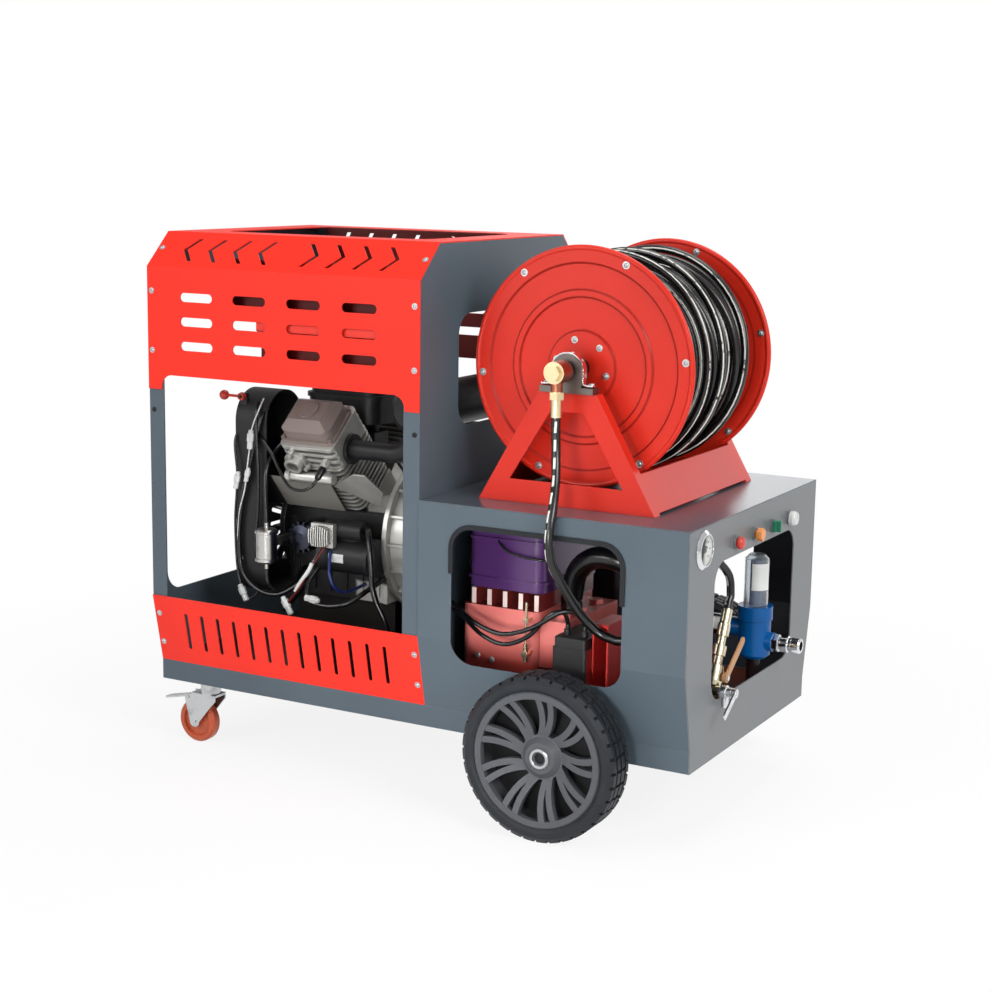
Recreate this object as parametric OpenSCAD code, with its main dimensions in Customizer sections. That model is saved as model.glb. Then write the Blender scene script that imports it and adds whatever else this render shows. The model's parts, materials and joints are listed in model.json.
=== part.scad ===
// Drain jetter on two wheels and two casters.
// An engine under a red hood drives a pump in the cabinet, and the jetting hose winds on the reel above it.
// Frame: +X is the control-panel end, -Y the operator's side, +Z up, origin on the ground under the middle.

/* [Body] */
// Length of the pump cabinet, partition to control panel
cabinet_len = 650; // [600:10:800]
// Width over the body sides
body_w = 760; // [720:10:920]
// Width over the base lip
lip_w = 690; // [640:10:840]
// Height of the base lip
lip_h = 49; // [40:1:70]
// Height of the fold above the sloping skirt
fold_h = 217; // [190:1:260]
// Sheet thickness
sheet = 3; // [2:0.5:5]
// Length of the engine bay
bay_len = 750; // [700:10:900]
// Flange width of the end frame and the partition
post_w = 42; // [30:1:60]

/* [Hood] */
// Height of the hood top above the base underside
hood_h = 1088; // [1040:1:1300]
// Height of the hood's eave fold
eave_h = 1009; // [960:1:1030]
// Width of the flat hood top
ridge_w = 596; // [500:2:700]
// Height of the hood side's lower edge
hood_edge_h = 755; // [700:1:800]
// How far the end tabs hang below that edge
hood_tab = 35; // [10:1:60]
// Louvre slot length
louvre_len = 92; // [60:1:120]
// Louvre slot height
louvre_h = 21; // [10:1:30]
// Louvre spacing along the hood
louvre_pitch = 150; // [130:1:180]
// Louvre spacing up the hood
louvre_rise = 57; // [40:1:70]
// Chevron slot spacing
chevron_pitch = 71; // [50:1:80]
// Chevron slot width
chevron_w = 11; // [6:1:16]

/* [Skirt] */
// Number of slots in a skirt panel
skirt_slots = 13; // [6:1:15]
// Skirt slot spacing
skirt_pitch = 47; // [35:1:55]
// Skirt slot width
skirt_slot_w = 10; // [6:1:16]
// Skirt slot height
skirt_slot_h = 92; // [60:1:110]

/* [Cabinet] */
// Height of the cabinet top above the base underside
cabinet_h = 527; // [500:1:640]
// Side window length
side_window_len = 415; // [300:5:500]
// Side window height
side_window_h = 313; // [220:1:330]
// Height of the side window's sill
side_window_z = 167; // [120:1:190]
// Distance from the partition to the side window
side_window_x = 85; // [50:1:120]
// Panel window width
panel_window_w = 485; // [400:5:520]
// Panel window height
panel_window_h = 306; // [240:2:310]
// Height of the panel window's sill
panel_window_z = 128; // [100:1:150]
// Corner radius of the windows
window_r = 50; // [20:1:70]

/* [Engine] */
// Distance from the end frame to the engine's middle
engine_x = 390; // [370:1:420]
// Height of the crankshaft above the base underside
crank_z = 365; // [340:1:400]
// Crankshaft radius
crank_r = 19; // [14:0.5:24]
// Length of the crankcase
crankcase_len = 280; // [240:5:320]
// Width of the crankcase
crankcase_w = 300; // [260:5:320]
// Lean of each cylinder from upright
bank_angle = 41; // [35:1:50]
// Stagger of the two cylinders along the crankshaft
bank_stagger = 40; // [20:2:60]
// Cylinder barrel radius
barrel_r = 58; // [45:1:70]
// Length of the blower housing
blower_len = 90; // [70:1:110]
// Width of the blower housing
blower_w = 510; // [400:5:560]
// Height of the blower's ducts above the crankshaft
duct_h = 350; // [320:5:380]
// Flywheel fan radius
fan_r = 132; // [100:1:145]
// Starter motor radius
starter_r = 42; // [34:1:48]

/* [Pump] */
// Length of the pump body
pump_len = 260; // [220:5:280]
// Width of the pump body
pump_w = 290; // [250:5:300]
// Height of the pump body's top, above the base underside
pump_top = 275; // [250:1:290]
// Height of the cooling fins
pump_fin_h = 37; // [20:1:45]
// Height of the reducer box
reducer_h = 138; // [110:1:160]

/* [Reel] */
// Distance from the partition to the reel axis
reel_x = 310; // [300:1:340]
// Height of the reel axis above the cabinet top
reel_lift = 299; // [285:1:370]
// Flange radius
flange_r = 265; // [220:1:275]
// Space between the flanges
flange_gap = 440; // [400:1:446]
// Shift of the reel's middle toward the far side
reel_shift = 15; // [0:1:20]
// Jetting hose diameter
hose_d = 18; // [14:0.5:20]
// Radius of the hose pack
pack_r = 213; // [180:1:230]
// Loops in the outer layer of hose
hose_loops = 22; // [12:1:23]
// Clear gap between neighbouring loops
loop_gap = 0.9; // [0.6:0.1:1.5]
// Reel shaft radius
reel_shaft_r = 20; // [14:0.5:24]
// Width over the reel stand
stand_w = 560; // [540:2:620]
// Length of the reel stand's foot
stand_len = 427; // [380:1:480]
// Length of the flat that carries a bearing
stand_top_len = 140; // [110:1:180]
// Thickness of the reel stand's plate
stand_t = 5; // [4:0.5:8]
// Width of the stand's folded edges
stand_flange = 30; // [15:1:34]

/* [Wheels] */
// Tyre radius
tyre_r = 182; // [150:1:220]
// Rim radius
rim_r = 150; // [120:1:155]
// Tyre width
tyre_w = 90; // [70:1:110]
// Gap between a tyre and the body side
wheel_gap = 5; // [3:1:30]
// Distance from the end frame to the axle
axle_x = 1100; // [950:5:1150]
// Axle height above the base underside
axle_lift = 14; // [6:1:18]
// Axle radius
axle_r = 12.5; // [9:0.5:15]

/* [Casters] */
// Caster wheel radius
caster_r = 54; // [45:1:60]
// Caster wheel width
caster_w = 32; // [24:1:38]
// Distance from the end frame to the swivel axis
caster_x = 95; // [80:1:110]
// Spacing of the two casters
caster_span = 558; // [480:2:580]
// Trail of the caster wheel behind its swivel axis
caster_trail = 35; // [25:1:42]
// Reach of the brake pedal past the end frame
pedal_reach = 40; // [20:1:60]

/* [Controls] */
// Height of the row of knobs above the base underside
knob_z = 463; // [455:1:480]
// Spacing of the knobs
knob_pitch = 110; // [90:1:115]
// Place of the first knob across the panel
knob_y0 = -132; // [-140:1:-110]
// Pressure gauge flange radius
gauge_r = 42; // [32:1:45]
// Reach of the water inlet past the panel
inlet_reach = 78; // [60:1:100]

/* [Fits] */
// Gap between faces that pass each other
clear_gap = 0.5; // [0.3:0.1:1]
// Radial gap of a running fit
run_fit = 0.05; // [0.02:0.01:0.1]

/* [Hidden] */
$fn = 64;
// Whole part
body_len = bay_len + cabinet_len;
track_w = body_w + 2 * (tyre_w + wheel_gap);
base_z = tyre_r - axle_lift;
x0 = -(body_len + inlet_reach - pedal_reach) / 2;
cut = 10;
big = 2 * (body_len + body_w);

// Body outline across the machine, seen from the control-panel end
half_w = body_w / 2;
half_lip = lip_w / 2;
half_ridge = ridge_w / 2;
floor_z = lip_h;
hood_half = [[half_lip, 0], [half_lip, lip_h], [half_w, fold_h], [half_w, eave_h], [half_ridge, hood_h]];
cabinet_half = [[half_lip, 0], [half_lip, lip_h], [half_w, fold_h], [half_w, cabinet_h]];
slope_angle = atan2(hood_h - eave_h, half_w - half_ridge);
slope_len = norm([hood_h - eave_h, half_w - half_ridge]);

// Colours
grey = [0.30, 0.34, 0.38];
panel_grey = [0.46, 0.47, 0.48];
red = [0.93, 0.20, 0.15];
black = [0.08, 0.08, 0.09];
steel = [0.72, 0.73, 0.74];
alloy = [0.56, 0.56, 0.55];
brass = [0.78, 0.62, 0.35];

// A closed outline from its right half
function whole(half) = concat(half, [for (i = [len(half) - 1:-1:0]) [-half[i].x, half[i].y]]);

// A closed outline moved inward by d
function unit(v) = v / norm(v);
function inset(p, d) = [
    for (i = [0:len(p) - 1])
        let (
            n = len(p),
            a = unit(p[i] - p[(i + n - 1) % n]),
            b = unit(p[(i + 1) % n] - p[i]),
            na = [-a.y, a.x],
            nb = [-b.y, b.x]
        )
        p[i] + d * (na + nb) / (1 + na * nb)
];

// Placing: bx runs from the end frame, z from the base underside
module place(p) {
    translate([x0 + p.x, p.y, base_z + p.z]) children();
}

// Extrude a (y, z) outline from bx = from to bx = to
module along_x(from, to) {
    translate([x0 + from, 0, base_z]) rotate([90, 0, 90]) linear_extrude(to - from) children();
}

// Extrude a (bx, z) outline from y = from to y = to
module along_y(from, to) {
    translate([x0, to, base_z]) rotate([90, 0, 0]) linear_extrude(to - from) children();
}

// Rounded rectangle, corner at the origin
module rounded(w, h, r) {
    translate([r, 0]) square([w - 2 * r, h]);
    translate([0, r]) square([w, h - 2 * r]);
    for (x = [r, w - r], y = [r, h - r]) translate([x, y]) circle(r);
}

// Rounded rectangle about its middle
module rounded_mid(w, h, r) {
    translate([-w / 2, -h / 2]) rounded(w, h, r);
}

// Round bar along X or Y from p, of the given length
module bar_x(p, len, r) {
    place(p) rotate([0, 90, 0]) cylinder(h = len, r = r);
}
module bar_y(p, len, r) {
    place(p) rotate([-90, 0, 0]) cylinder(h = len, r = r);
}

// Mirror for the far side
module side(s) {
    if (s > 0) mirror([0, 1, 0]) children();
    else children();
}

// Smooth route through hand-chosen points, n steps between neighbours
function route_point(p, i) = p[max(0, min(len(p) - 1, i))];
function smooth(p, n) = concat(
    [for (i = [0:len(p) - 2], k = [0:n - 1])
        let (
            t = k / n,
            a = route_point(p, i - 1),
            b = p[i],
            c = p[i + 1],
            d = route_point(p, i + 2)
        )
        0.5 * (2 * b + (c - a) * t + (2 * a - 5 * b + 4 * c - d) * t * t
            + (3 * b - a - 3 * c + d) * t * t * t)],
    [p[len(p) - 1]]
);

// Directions along a path, and a side vector for each ring that doesn't twist
function heading(p, i) = unit(route_point(p, i + 1) - route_point(p, i - 1));
function square_to(v, d) = unit(v - (v * d) * d);
function side_vectors(p, i, v) =
    i == len(p) ? [] :
    let (s = square_to(v, heading(p, i))) concat([s], side_vectors(p, i + 1, s));

// A tube of radius r along a path, with flat ends
module tube(p, r, sides, first_side) {
    n = len(p);
    s = side_vectors(p, 0, first_side);
    points = [
        for (i = [0:n - 1], k = [0:sides - 1])
            let (a = 360 * k / sides, d = heading(p, i))
            p[i] + r * (cos(a) * s[i] + sin(a) * cross(d, s[i]))
    ];
    walls = [
        for (i = [0:n - 2], k = [0:sides - 1], h = [0, 1])
            let (a = i * sides + k, b = i * sides + (k + 1) % sides)
            h == 0 ? [a, a + sides, b] : [b, a + sides, b + sides]
    ];
    caps = [
        for (k = [1:sides - 2], h = [0, 1])
            h == 0 ? [0, k, k + 1] : [(n - 1) * sides, (n - 1) * sides + k + 1, (n - 1) * sides + k]
    ];
    polyhedron(points, concat(walls, caps));
}

// Base frame: floor plate over a folded lip, engine stand, axle brackets and caster plates
stand_top = crank_z - 150;
rail_w = 60;
rail_y = 90;
bracket_t = 12;
bracket_w = 80;
bracket_y = 318;
axle_hole = axle_r + run_fit;
caster_plate_t = 6;
caster_plate_w = 84;
kingpin_r = 8;
kingpin_len = 34;

module base_lip() {
    difference() {
        along_x(0, body_len - sheet) translate([-half_lip, 0]) square([lip_w, lip_h]);
        along_x(sheet, body_len - 2 * sheet)
            translate([sheet - half_lip, -cut]) square([lip_w - 2 * sheet, lip_h - sheet + cut]);
        bar_y([axle_x, -half_lip - cut, axle_lift], lip_w + 2 * cut, axle_r + 4);
        place([axle_x - axle_r - 4, -half_lip - cut, -cut])
            cube([2 * axle_r + 8, lip_w + 2 * cut, axle_lift + cut]);
    }
}

module engine_stand() {
    for (s = [-1, 1]) {
        along_x(engine_x - crankcase_len / 2, engine_x + crankcase_len / 2)
            translate([s * rail_y - rail_w / 2, floor_z])
                difference() {
                    square([rail_w, stand_top - floor_z]);
                    translate([sheet, -cut]) square([rail_w - 2 * sheet, stand_top - floor_z - sheet + cut]);
                }
    }
}

module axle_bracket(s) {
    y = s * bracket_y;
    difference() {
        along_y(y - bracket_t / 2, y + bracket_t / 2) {
            translate([axle_x, axle_lift]) circle(axle_r + 14);
            polygon([
                [axle_x - bracket_w / 2, floor_z - sheet],
                [axle_x - axle_r - 14, axle_lift],
                [axle_x + axle_r + 14, axle_lift],
                [axle_x + bracket_w / 2, floor_z - sheet]
            ]);
        }
        bar_y([axle_x, y - bracket_t, axle_lift], 2 * bracket_t, axle_hole);
    }
}

module caster_mount(s) {
    place([caster_x - caster_plate_w / 2, s * caster_span / 2 - caster_plate_w / 2, -caster_plate_t])
        difference() {
            cube([caster_plate_w, caster_plate_w, floor_z - sheet + caster_plate_t]);
            translate([sheet, -cut, caster_plate_t])
                cube([caster_plate_w - 2 * sheet, caster_plate_w + 2 * cut, floor_z - 2 * sheet]);
        }
    place([caster_x, s * caster_span / 2, -kingpin_len]) cylinder(h = kingpin_len, r = kingpin_r);
}

module base_frame() {
    color(grey) {
        base_lip();
        engine_stand();
        for (s = [-1, 1]) {
            axle_bracket(s);
            caster_mount(s);
        }
    }
}

// Axle under the cabinet
axle_end = track_w / 2 - 30;
module axle() {
    color(steel) bar_y([axle_x, -axle_end, axle_lift], 2 * axle_end, axle_r);
}

// Sloping slotted skirt panel of the engine bay
skirt_slot_x = (bay_len - (skirt_slots - 1) * skirt_pitch) / 2;
skirt_slot_z = (lip_h + fold_h) / 2 - skirt_slot_h / 2;

module skirt() {
    inner = inset(whole(hood_half), sheet);
    color(red) difference() {
        along_x(0, bay_len)
            polygon([[-half_lip, lip_h], [-half_w, fold_h], [inner[7].x, fold_h], [inner[8].x, lip_h]]);
        along_y(-half_w - cut, -half_lip + cut + sheet)
            for (i = [0:skirt_slots - 1])
                translate([skirt_slot_x + i * skirt_pitch - skirt_slot_w / 2, skirt_slot_z])
                    rounded(skirt_slot_w, skirt_slot_h, skirt_slot_w / 2 - 0.01);
    }
}
module skirt_near() { skirt(); }
module skirt_far() { side(1) skirt(); }

// Grey frames at the two ends of the engine bay, folded from sheet
portal_w = body_w - 110;
portal_sill = 216;
portal_h = eave_h - portal_sill - 20;
hatch_w = 420;
hatch_h = 255;
hatch_z = 670;
bell_hole_r = 150;

module frame_outline(d) {
    intersection() {
        polygon(inset(whole(hood_half), d));
        translate([-big / 2, floor_z]) square(big);
    }
}

module bay_frame(face_x, flange_x) {
    along_x(face_x, face_x + sheet) difference() {
        frame_outline(sheet);
        children();
    }
    along_x(flange_x, flange_x + post_w - sheet) difference() {
        frame_outline(sheet);
        frame_outline(2 * sheet);
    }
}

module front_frame() {
    color(grey) bay_frame(0, sheet)
        translate([-portal_w / 2, portal_sill]) rounded(portal_w, portal_h, window_r);
}

module partition_wall() {
    color(grey) bay_frame(bay_len - sheet, bay_len - post_w) {
        translate([-hatch_w / 2, hatch_z]) rounded(hatch_w, hatch_h, window_r);
        translate([0, crank_z]) circle(bell_hole_r);
    }
}

// Red hood: louvred sides with chevron slots on the slope, and an open top
louvre_cols = 4;
louvre_rows = 3;
louvre_x = bay_len / 2 - 7 - (louvre_cols - 1) / 2 * louvre_pitch;
louvre_z = (eave_h + hood_edge_h) / 2 + 1;
arch_r = 30;
tab_w = 38;
chevrons = 4;
chevron_run = 29;
chevron_rise = 36;
chevron_x = 78;
top_open_len = 570;
top_open_w = 430;

module chevron(way) {
    scale([way, 1]) polygon([
        [0, 0], [chevron_run, chevron_rise], [chevron_run + chevron_w, chevron_rise],
        [chevron_w, 0], [chevron_run + chevron_w, -chevron_rise], [chevron_run, -chevron_rise]
    ]);
}

module hood_side() {
    outer = whole(hood_half);
    inner = inset(outer, sheet);
    low = hood_edge_h - hood_tab;
    color(red) difference() {
        along_x(0, bay_len)
            polygon([[-half_w, low], outer[6], outer[5], inner[5], inner[6], [inner[6].x, low]]);
        along_y(-half_w - cut, -half_w + cut) {
            translate([tab_w, low - arch_r]) rounded(bay_len - 2 * tab_w, hood_tab + arch_r, arch_r);
            for (i = [0:louvre_cols - 1], k = [0:louvre_rows - 1])
                translate([louvre_x + i * louvre_pitch, louvre_z + (k - 1) * louvre_rise])
                    rounded_mid(louvre_len, louvre_h, louvre_h / 2 - 0.01);
        }
        place([0, -half_w, eave_h]) rotate([slope_angle, 0, 0])
            translate([0, slope_len / 2, -cut]) linear_extrude(2 * cut)
                for (i = [0:chevrons - 1]) {
                    translate([chevron_x + i * chevron_pitch, 0]) chevron(1);
                    translate([bay_len - chevron_x - i * chevron_pitch, 0]) chevron(-1);
                }
    }
}
module hood_side_near() { hood_side(); }
module hood_side_far() { side(1) hood_side(); }

module hood_top() {
    inner = inset(whole(hood_half), sheet);
    color(red) place([0, 0, hood_h - sheet]) linear_extrude(sheet) difference() {
        translate([0, -inner[4].x]) square([bay_len, 2 * inner[4].x]);
        translate([(bay_len - top_open_len) / 2, -top_open_w / 2])
            rounded(top_open_len, top_open_w, window_r);
    }
}

// Pump cabinet: windowed sides, top plate and control panel
filler_x = bay_len + 60;
filler_y = half_lip - 25;
filler_r = 22;

module cabinet_side() {
    outer = whole(cabinet_half);
    inner = inset(outer, sheet);
    top = cabinet_h - sheet;
    color(grey) difference() {
        along_x(bay_len, body_len - sheet)
            polygon([
                [-half_lip, lip_h], outer[5], [-half_w, top],
                [inner[5].x, top], inner[5], [inner[6].x, lip_h]
            ]);
        along_y(-half_w - cut, -half_lip + cut)
            translate([bay_len + side_window_x, side_window_z])
                rounded(side_window_len, side_window_h, window_r);
    }
}
module cabinet_side_near() { cabinet_side(); }
module cabinet_side_far() { side(1) cabinet_side(); }

module cabinet_top() {
    color(grey) difference() {
        place([bay_len, -half_w, cabinet_h - sheet]) cube([body_len - bay_len, body_w, sheet]);
        place([filler_x, filler_y, 0]) cylinder(h = big, r = filler_r + 2);
    }
}

// Control panel, with the collars of the knobs
collar_r = 15;
collar_t = 5;
stem_r = 9;
gauge_y = -312;
gauge_z = cabinet_h - 49;
gauge_body_r = gauge_r - 11;
knob_y = [for (i = [0:3]) knob_y0 + i * knob_pitch];

module control_panel() {
    color(panel_grey) difference() {
        union() {
            along_x(body_len - sheet, body_len) difference() {
                polygon(concat(
                    [[half_lip, 0], [half_lip, lip_h], [half_w, fold_h], [half_w, cabinet_h - sheet]],
                    [[-half_w, cabinet_h - sheet], [-half_w, fold_h], [-half_lip, lip_h], [-half_lip, 0]]
                ));
                translate([-panel_window_w / 2, panel_window_z])
                    rounded(panel_window_w, panel_window_h, window_r);
                translate([gauge_y, gauge_z]) circle(gauge_body_r + clear_gap);
            }
            for (y = knob_y) bar_x([body_len, y, knob_z], collar_t, collar_r);
        }
        for (y = knob_y) bar_x([body_len - cut, y, knob_z], 2 * cut, stem_r + clear_gap);
    }
}

// Engine: two leaning cylinders on one crankcase, crankshaft along X
engine_x0 = engine_x - crankcase_len / 2;
engine_x1 = engine_x + crankcase_len / 2;
case_side_h = 215;
pad_w = 150;
pad_d = 140;
pad_from = 60;
barrel_from = 150;
head_from = 305;
cover_from = 372;
cover_h = 55;
fin_t = 4;
fin_pitch = 14;
fins = 11;
carb_r = 30;
carb_z = crank_z + 145;
rib_t = 6;

// Frame of one cylinder: Z along the barrel, -Y its outer side, near side for s = -1
function bank_x(s) = s < 0 ? engine_x : engine_x - bank_stagger;
module bank(s) {
    place([bank_x(s), 0, crank_z]) rotate([-s * bank_angle, 0, 0]) side(s) children();
}

module crankcase() {
    half = crankcase_w / 2;
    color(alloy) difference() {
        union() {
            along_x(engine_x0, engine_x1)
                polygon([
                    [-half, stand_top], [half, stand_top], [half, stand_top + case_side_h],
                    [half / 2, carb_z - 50], [-half / 2, carb_z - 50], [-half, stand_top + case_side_h]
                ]);
            for (s = [-1, 1])
                bank(s) translate([-pad_w / 2, -pad_d / 2, pad_from])
                    cube([pad_w, pad_d, barrel_from - pad_from]);
            place([engine_x - bank_stagger / 2 - carb_r, -carb_r + 2, crank_z])
                cube([2 * carb_r, 2 * carb_r - 4, carb_z - crank_z]);
            for (i = [0:5], s = [-1, 1])
                place([engine_x0 + 20 + i * 46, s * half - rib_t, stand_top + 14])
                    cube([rib_t, 2 * rib_t, 70]);
            for (x = [engine_x0, engine_x1 - 2 * rib_t])
                along_x(x, x + 2 * rib_t)
                    translate([-half - rib_t, stand_top]) square([2 * half + 2 * rib_t, 190]);
        }
        bar_x([engine_x0 - cut, 0, crank_z], crankcase_len + 2 * cut, crank_r + run_fit);
    }
}

// Finned barrel and head, with exhaust port, spark plug, rocker feed pipe and heat shield on the outer side
port_x = -42;
port_z = head_from + 22;
port_r = 22;
plug_x = 44;
feed_r = 13;
feed_y = -pad_w / 2 - 14;
feed_z = head_from - 16;
shield_gap = 10;
shield_t = 4;
module engine_cylinder(s) {
    half_d = pad_d / 2;
    color(alloy) bank(s) {
        translate([0, 0, barrel_from]) cylinder(h = head_from - barrel_from, r = barrel_r);
        for (i = [0:fins - 1])
            translate([0, 0, barrel_from + 10 + i * fin_pitch])
                linear_extrude(fin_t) rounded_mid(pad_w, pad_w, 20);
        difference() {
            translate([0, 0, head_from]) linear_extrude(cover_from - head_from) rounded_mid(pad_w, pad_d, 16);
            for (i = [0:2], y = [-1, 1])
                translate([-pad_w, y * half_d - 11, head_from + 8 + i * 19]) cube([2 * pad_w, 22, 10]);
        }
        translate([port_x, 0, port_z]) rotate([90, 0, 0]) difference() {
            union() {
                linear_extrude(half_d + 11) {
                    circle(port_r + 6);
                    for (a = [90, 210, 330]) rotate(a) translate([0, -7]) rounded(port_r + 16, 14, 6.9);
                }
                cylinder(h = half_d + 26, r = port_r);
                for (a = [90, 210, 330])
                    rotate(a) translate([port_r + 8, 0]) cylinder(h = half_d + 19, r = 5.5, $fn = 6);
            }
            translate([0, 0, half_d]) cylinder(h = big, r = port_r - 7);
        }
        translate([plug_x, 0, port_z + 4]) rotate([90, 0, 0]) {
            cylinder(h = half_d + 18, r = 11, $fn = 6);
            cylinder(h = half_d + 42, r = 7);
        }
        translate([-pad_w / 2, feed_y, feed_z]) rotate([0, 90, 0]) {
            cylinder(h = pad_w - 20, r = feed_r);
            cylinder(h = 12, r = feed_r + 4);
        }
        for (x = [20 - pad_w / 2, pad_w / 2 - 40])
            translate([x, 0, feed_z]) rotate([90, 0, 0]) cylinder(h = -feed_y, r = feed_r - 4);
        translate([0, -pad_w / 2 - shield_gap, 0]) rotate([90, 0, 0]) linear_extrude(shield_t) polygon([
            [42, barrel_from + 112], [118, head_from + 10], [150, head_from + 10], [176, barrel_from + 108],
            [150, barrel_from + 52], [96, barrel_from + 84]
        ]);
        for (z = [barrel_from + 100, barrel_from + 122])
            translate([pad_w / 2 - 14, -barrel_r, z]) rotate([90, 0, 0])
                cylinder(h = pad_w / 2 + shield_gap + 1 - barrel_r, r = 6);
    }
}
module cylinder_near() { engine_cylinder(-1); }
module cylinder_far() { engine_cylinder(1); }

// Bevelled valve covers with a bolted rim
rim_t = 8;
cover_len = pad_w - 16;
cover_w = pad_d - 36;
cover_bevel = 22;
module valve_covers() {
    color([0.40, 0.36, 0.33]) for (s = [-1, 1]) bank(s) translate([0, 0, cover_from]) {
        linear_extrude(rim_t) rounded_mid(pad_w - 4, pad_d - 22, 16);
        difference() {
            linear_extrude(cover_h) rounded_mid(cover_len, cover_w, 20);
            for (a = [0, 180]) rotate(a) {
                translate([-cover_len, cover_w / 2, cover_h - cover_bevel]) rotate([45, 0, 0])
                    cube([2 * cover_len, cover_h, cover_h]);
                translate([cover_len / 2, -cover_w, cover_h - cover_bevel]) rotate([0, -45, 0])
                    cube([cover_h, 2 * cover_w, cover_h]);
            }
        }
        cylinder(h = cover_h + 5, r = 25);
        for (x = [-1, 1], y = [-1, 1])
            translate([x * (pad_w / 2 - 10), y * (pad_d / 2 - 18), 0])
                cylinder(h = rim_t + 6, r = 5.5, $fn = 6);
    }
}

// Blower housing: a wide box round the fan, two ducts above it and a shroud along each cylinder
blower_t = 4;
blower_low = -145;
blower_high = 150;
duct_w = 150;
duct_r = 74;
shroud_from = barrel_from + 15;
shroud_len = 105;
guard_slots = 20;
lever_pin_r = 4;
lever_y = 15 - blower_w / 2;
lever_x = engine_x0 - blower_len + 16;
lever_z = crank_z + duct_h - 15;

module blower_outline(d) {
    half = blower_w / 2;
    translate([d - half, blower_low + d]) rounded(2 * (half - d), blower_high - blower_low - 2 * d, 60 - d);
    for (y = [-half, half - duct_w])
        translate([y + d, 0]) rounded(duct_w - 2 * d, duct_h - d, duct_r - d);
}

module blower_housing() {
    x = engine_x0 - blower_len;
    color(black) {
        difference() {
            along_x(x, engine_x0) translate([0, crank_z]) blower_outline(0);
            along_x(x + blower_t, engine_x0 + cut) translate([0, crank_z]) blower_outline(blower_t);
            along_x(x - cut, x + cut) translate([0, crank_z])
                for (i = [0:guard_slots - 1])
                    rotate(i * 360 / guard_slots) translate([48, -5]) rounded(fan_r - 60, 10, 4.9);
        }
        for (s = [-1, 1]) bank(s)
            translate([x + 1 - bank_x(s), -pad_w / 2 - shield_gap, shroud_from])
                cube([bank_x(s) + 30 - x, 3, shroud_len]);
        place([lever_x - 10, lever_y - 4, lever_z - 22]) cube([20, 8, 30]);
        bar_y([lever_x, lever_y - 20, lever_z], 20, lever_pin_r);
    }
}

// Throttle lever with a round knob
knob_ball_r = 12;
lever_len = 52;
lever_lean = 90;
module throttle_lever() {
    color(red) place([lever_x, lever_y - 4 - clear_gap, lever_z]) {
        difference() {
            union() {
                rotate([90, 0, 0]) cylinder(h = 12, r = 9);
                translate([0, -6, 0]) rotate([0, -lever_lean, 0]) cylinder(h = lever_len, r = 3.5);
            }
            translate([0, cut, 0]) rotate([90, 0, 0]) cylinder(h = 4 * cut, r = lever_pin_r + run_fit);
        }
        translate([0, -6, 0]) rotate([0, -lever_lean, 0]) translate([0, 0, lever_len]) sphere(knob_ball_r);
    }
}

// Flywheel with fan blades, on the crankshaft that runs through to the reducer
blades = 16;
fan_x = engine_x0 - 50;
shaft_x0 = engine_x0 - 78;
reducer_x = bay_len + 40;
shaft_x1 = reducer_x + 40;
coupling_r = 105;
module flywheel_fan() {
    color(steel) {
        bar_x([shaft_x0, 0, crank_z], shaft_x1 - shaft_x0, crank_r);
        bar_x([fan_x, 0, crank_z], 14, fan_r);
        bar_x([fan_x - 24, 0, crank_z], 60, 38);
        bar_x([engine_x1 + 90, 0, crank_z], 24, coupling_r);
        place([fan_x - 22, 0, crank_z])
            for (i = [0:blades - 1])
                rotate([i * 360 / blades, 0, 0]) translate([0, 60, -2]) cube([24, fan_r - 64, 4]);
    }
}

// Ribbed bell housing between the crankcase and the partition
bell_r0 = 165;
bell_r1 = 138;
bell_t = 8;
bell_flange = 20;
bell_ribs = 16;
module bell_housing() {
    len = bay_len - sheet - engine_x1;
    color(alloy) place([engine_x1, 0, crank_z]) rotate([0, 90, 0]) {
        rotate_extrude() polygon([
            [bell_r0 - bell_t, 0], [bell_r0 + bell_flange, 0], [bell_r0 + bell_flange, 12], [bell_r0, 12],
            [bell_r1, len - 12], [bell_r1 + 1.5 * bell_flange, len - 12], [bell_r1 + 1.5 * bell_flange, len],
            [bell_r1 - bell_t, len]
        ]);
        for (i = [0:bell_ribs - 1]) rotate(i * 360 / bell_ribs)
            translate([bell_r1 - 4, -3, 6]) cube([bell_r0 - bell_r1 + 16, 6, len - 12]);
    }
}

// Air cleaner on the carburettor
cleaner_len = 200;
cleaner_w = 250;
cleaner_h = 92;
module air_cleaner() {
    x = engine_x - bank_stagger / 2;
    z = carb_z + 128;
    color(black) {
        place([x, 0, carb_z]) cylinder(h = z - carb_z, r = carb_r);
        place([x, 0, carb_z + 50]) linear_extrude(44) rounded_mid(84, 76, 10);
        place([x, 0, z]) linear_extrude(cleaner_h - 30) rounded_mid(cleaner_len, cleaner_w, 34);
        place([x, 0, z + cleaner_h - 34]) linear_extrude(10)
            rounded_mid(cleaner_len + 10, cleaner_w + 10, 38);
        place([x, 0, z + cleaner_h - 24]) linear_extrude(24)
            rounded_mid(cleaner_len - 8, cleaner_w - 8, 34);
        place([x, 0, z + cleaner_h]) cylinder(h = 14, r = 10, $fn = 6);
    }
}

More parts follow.
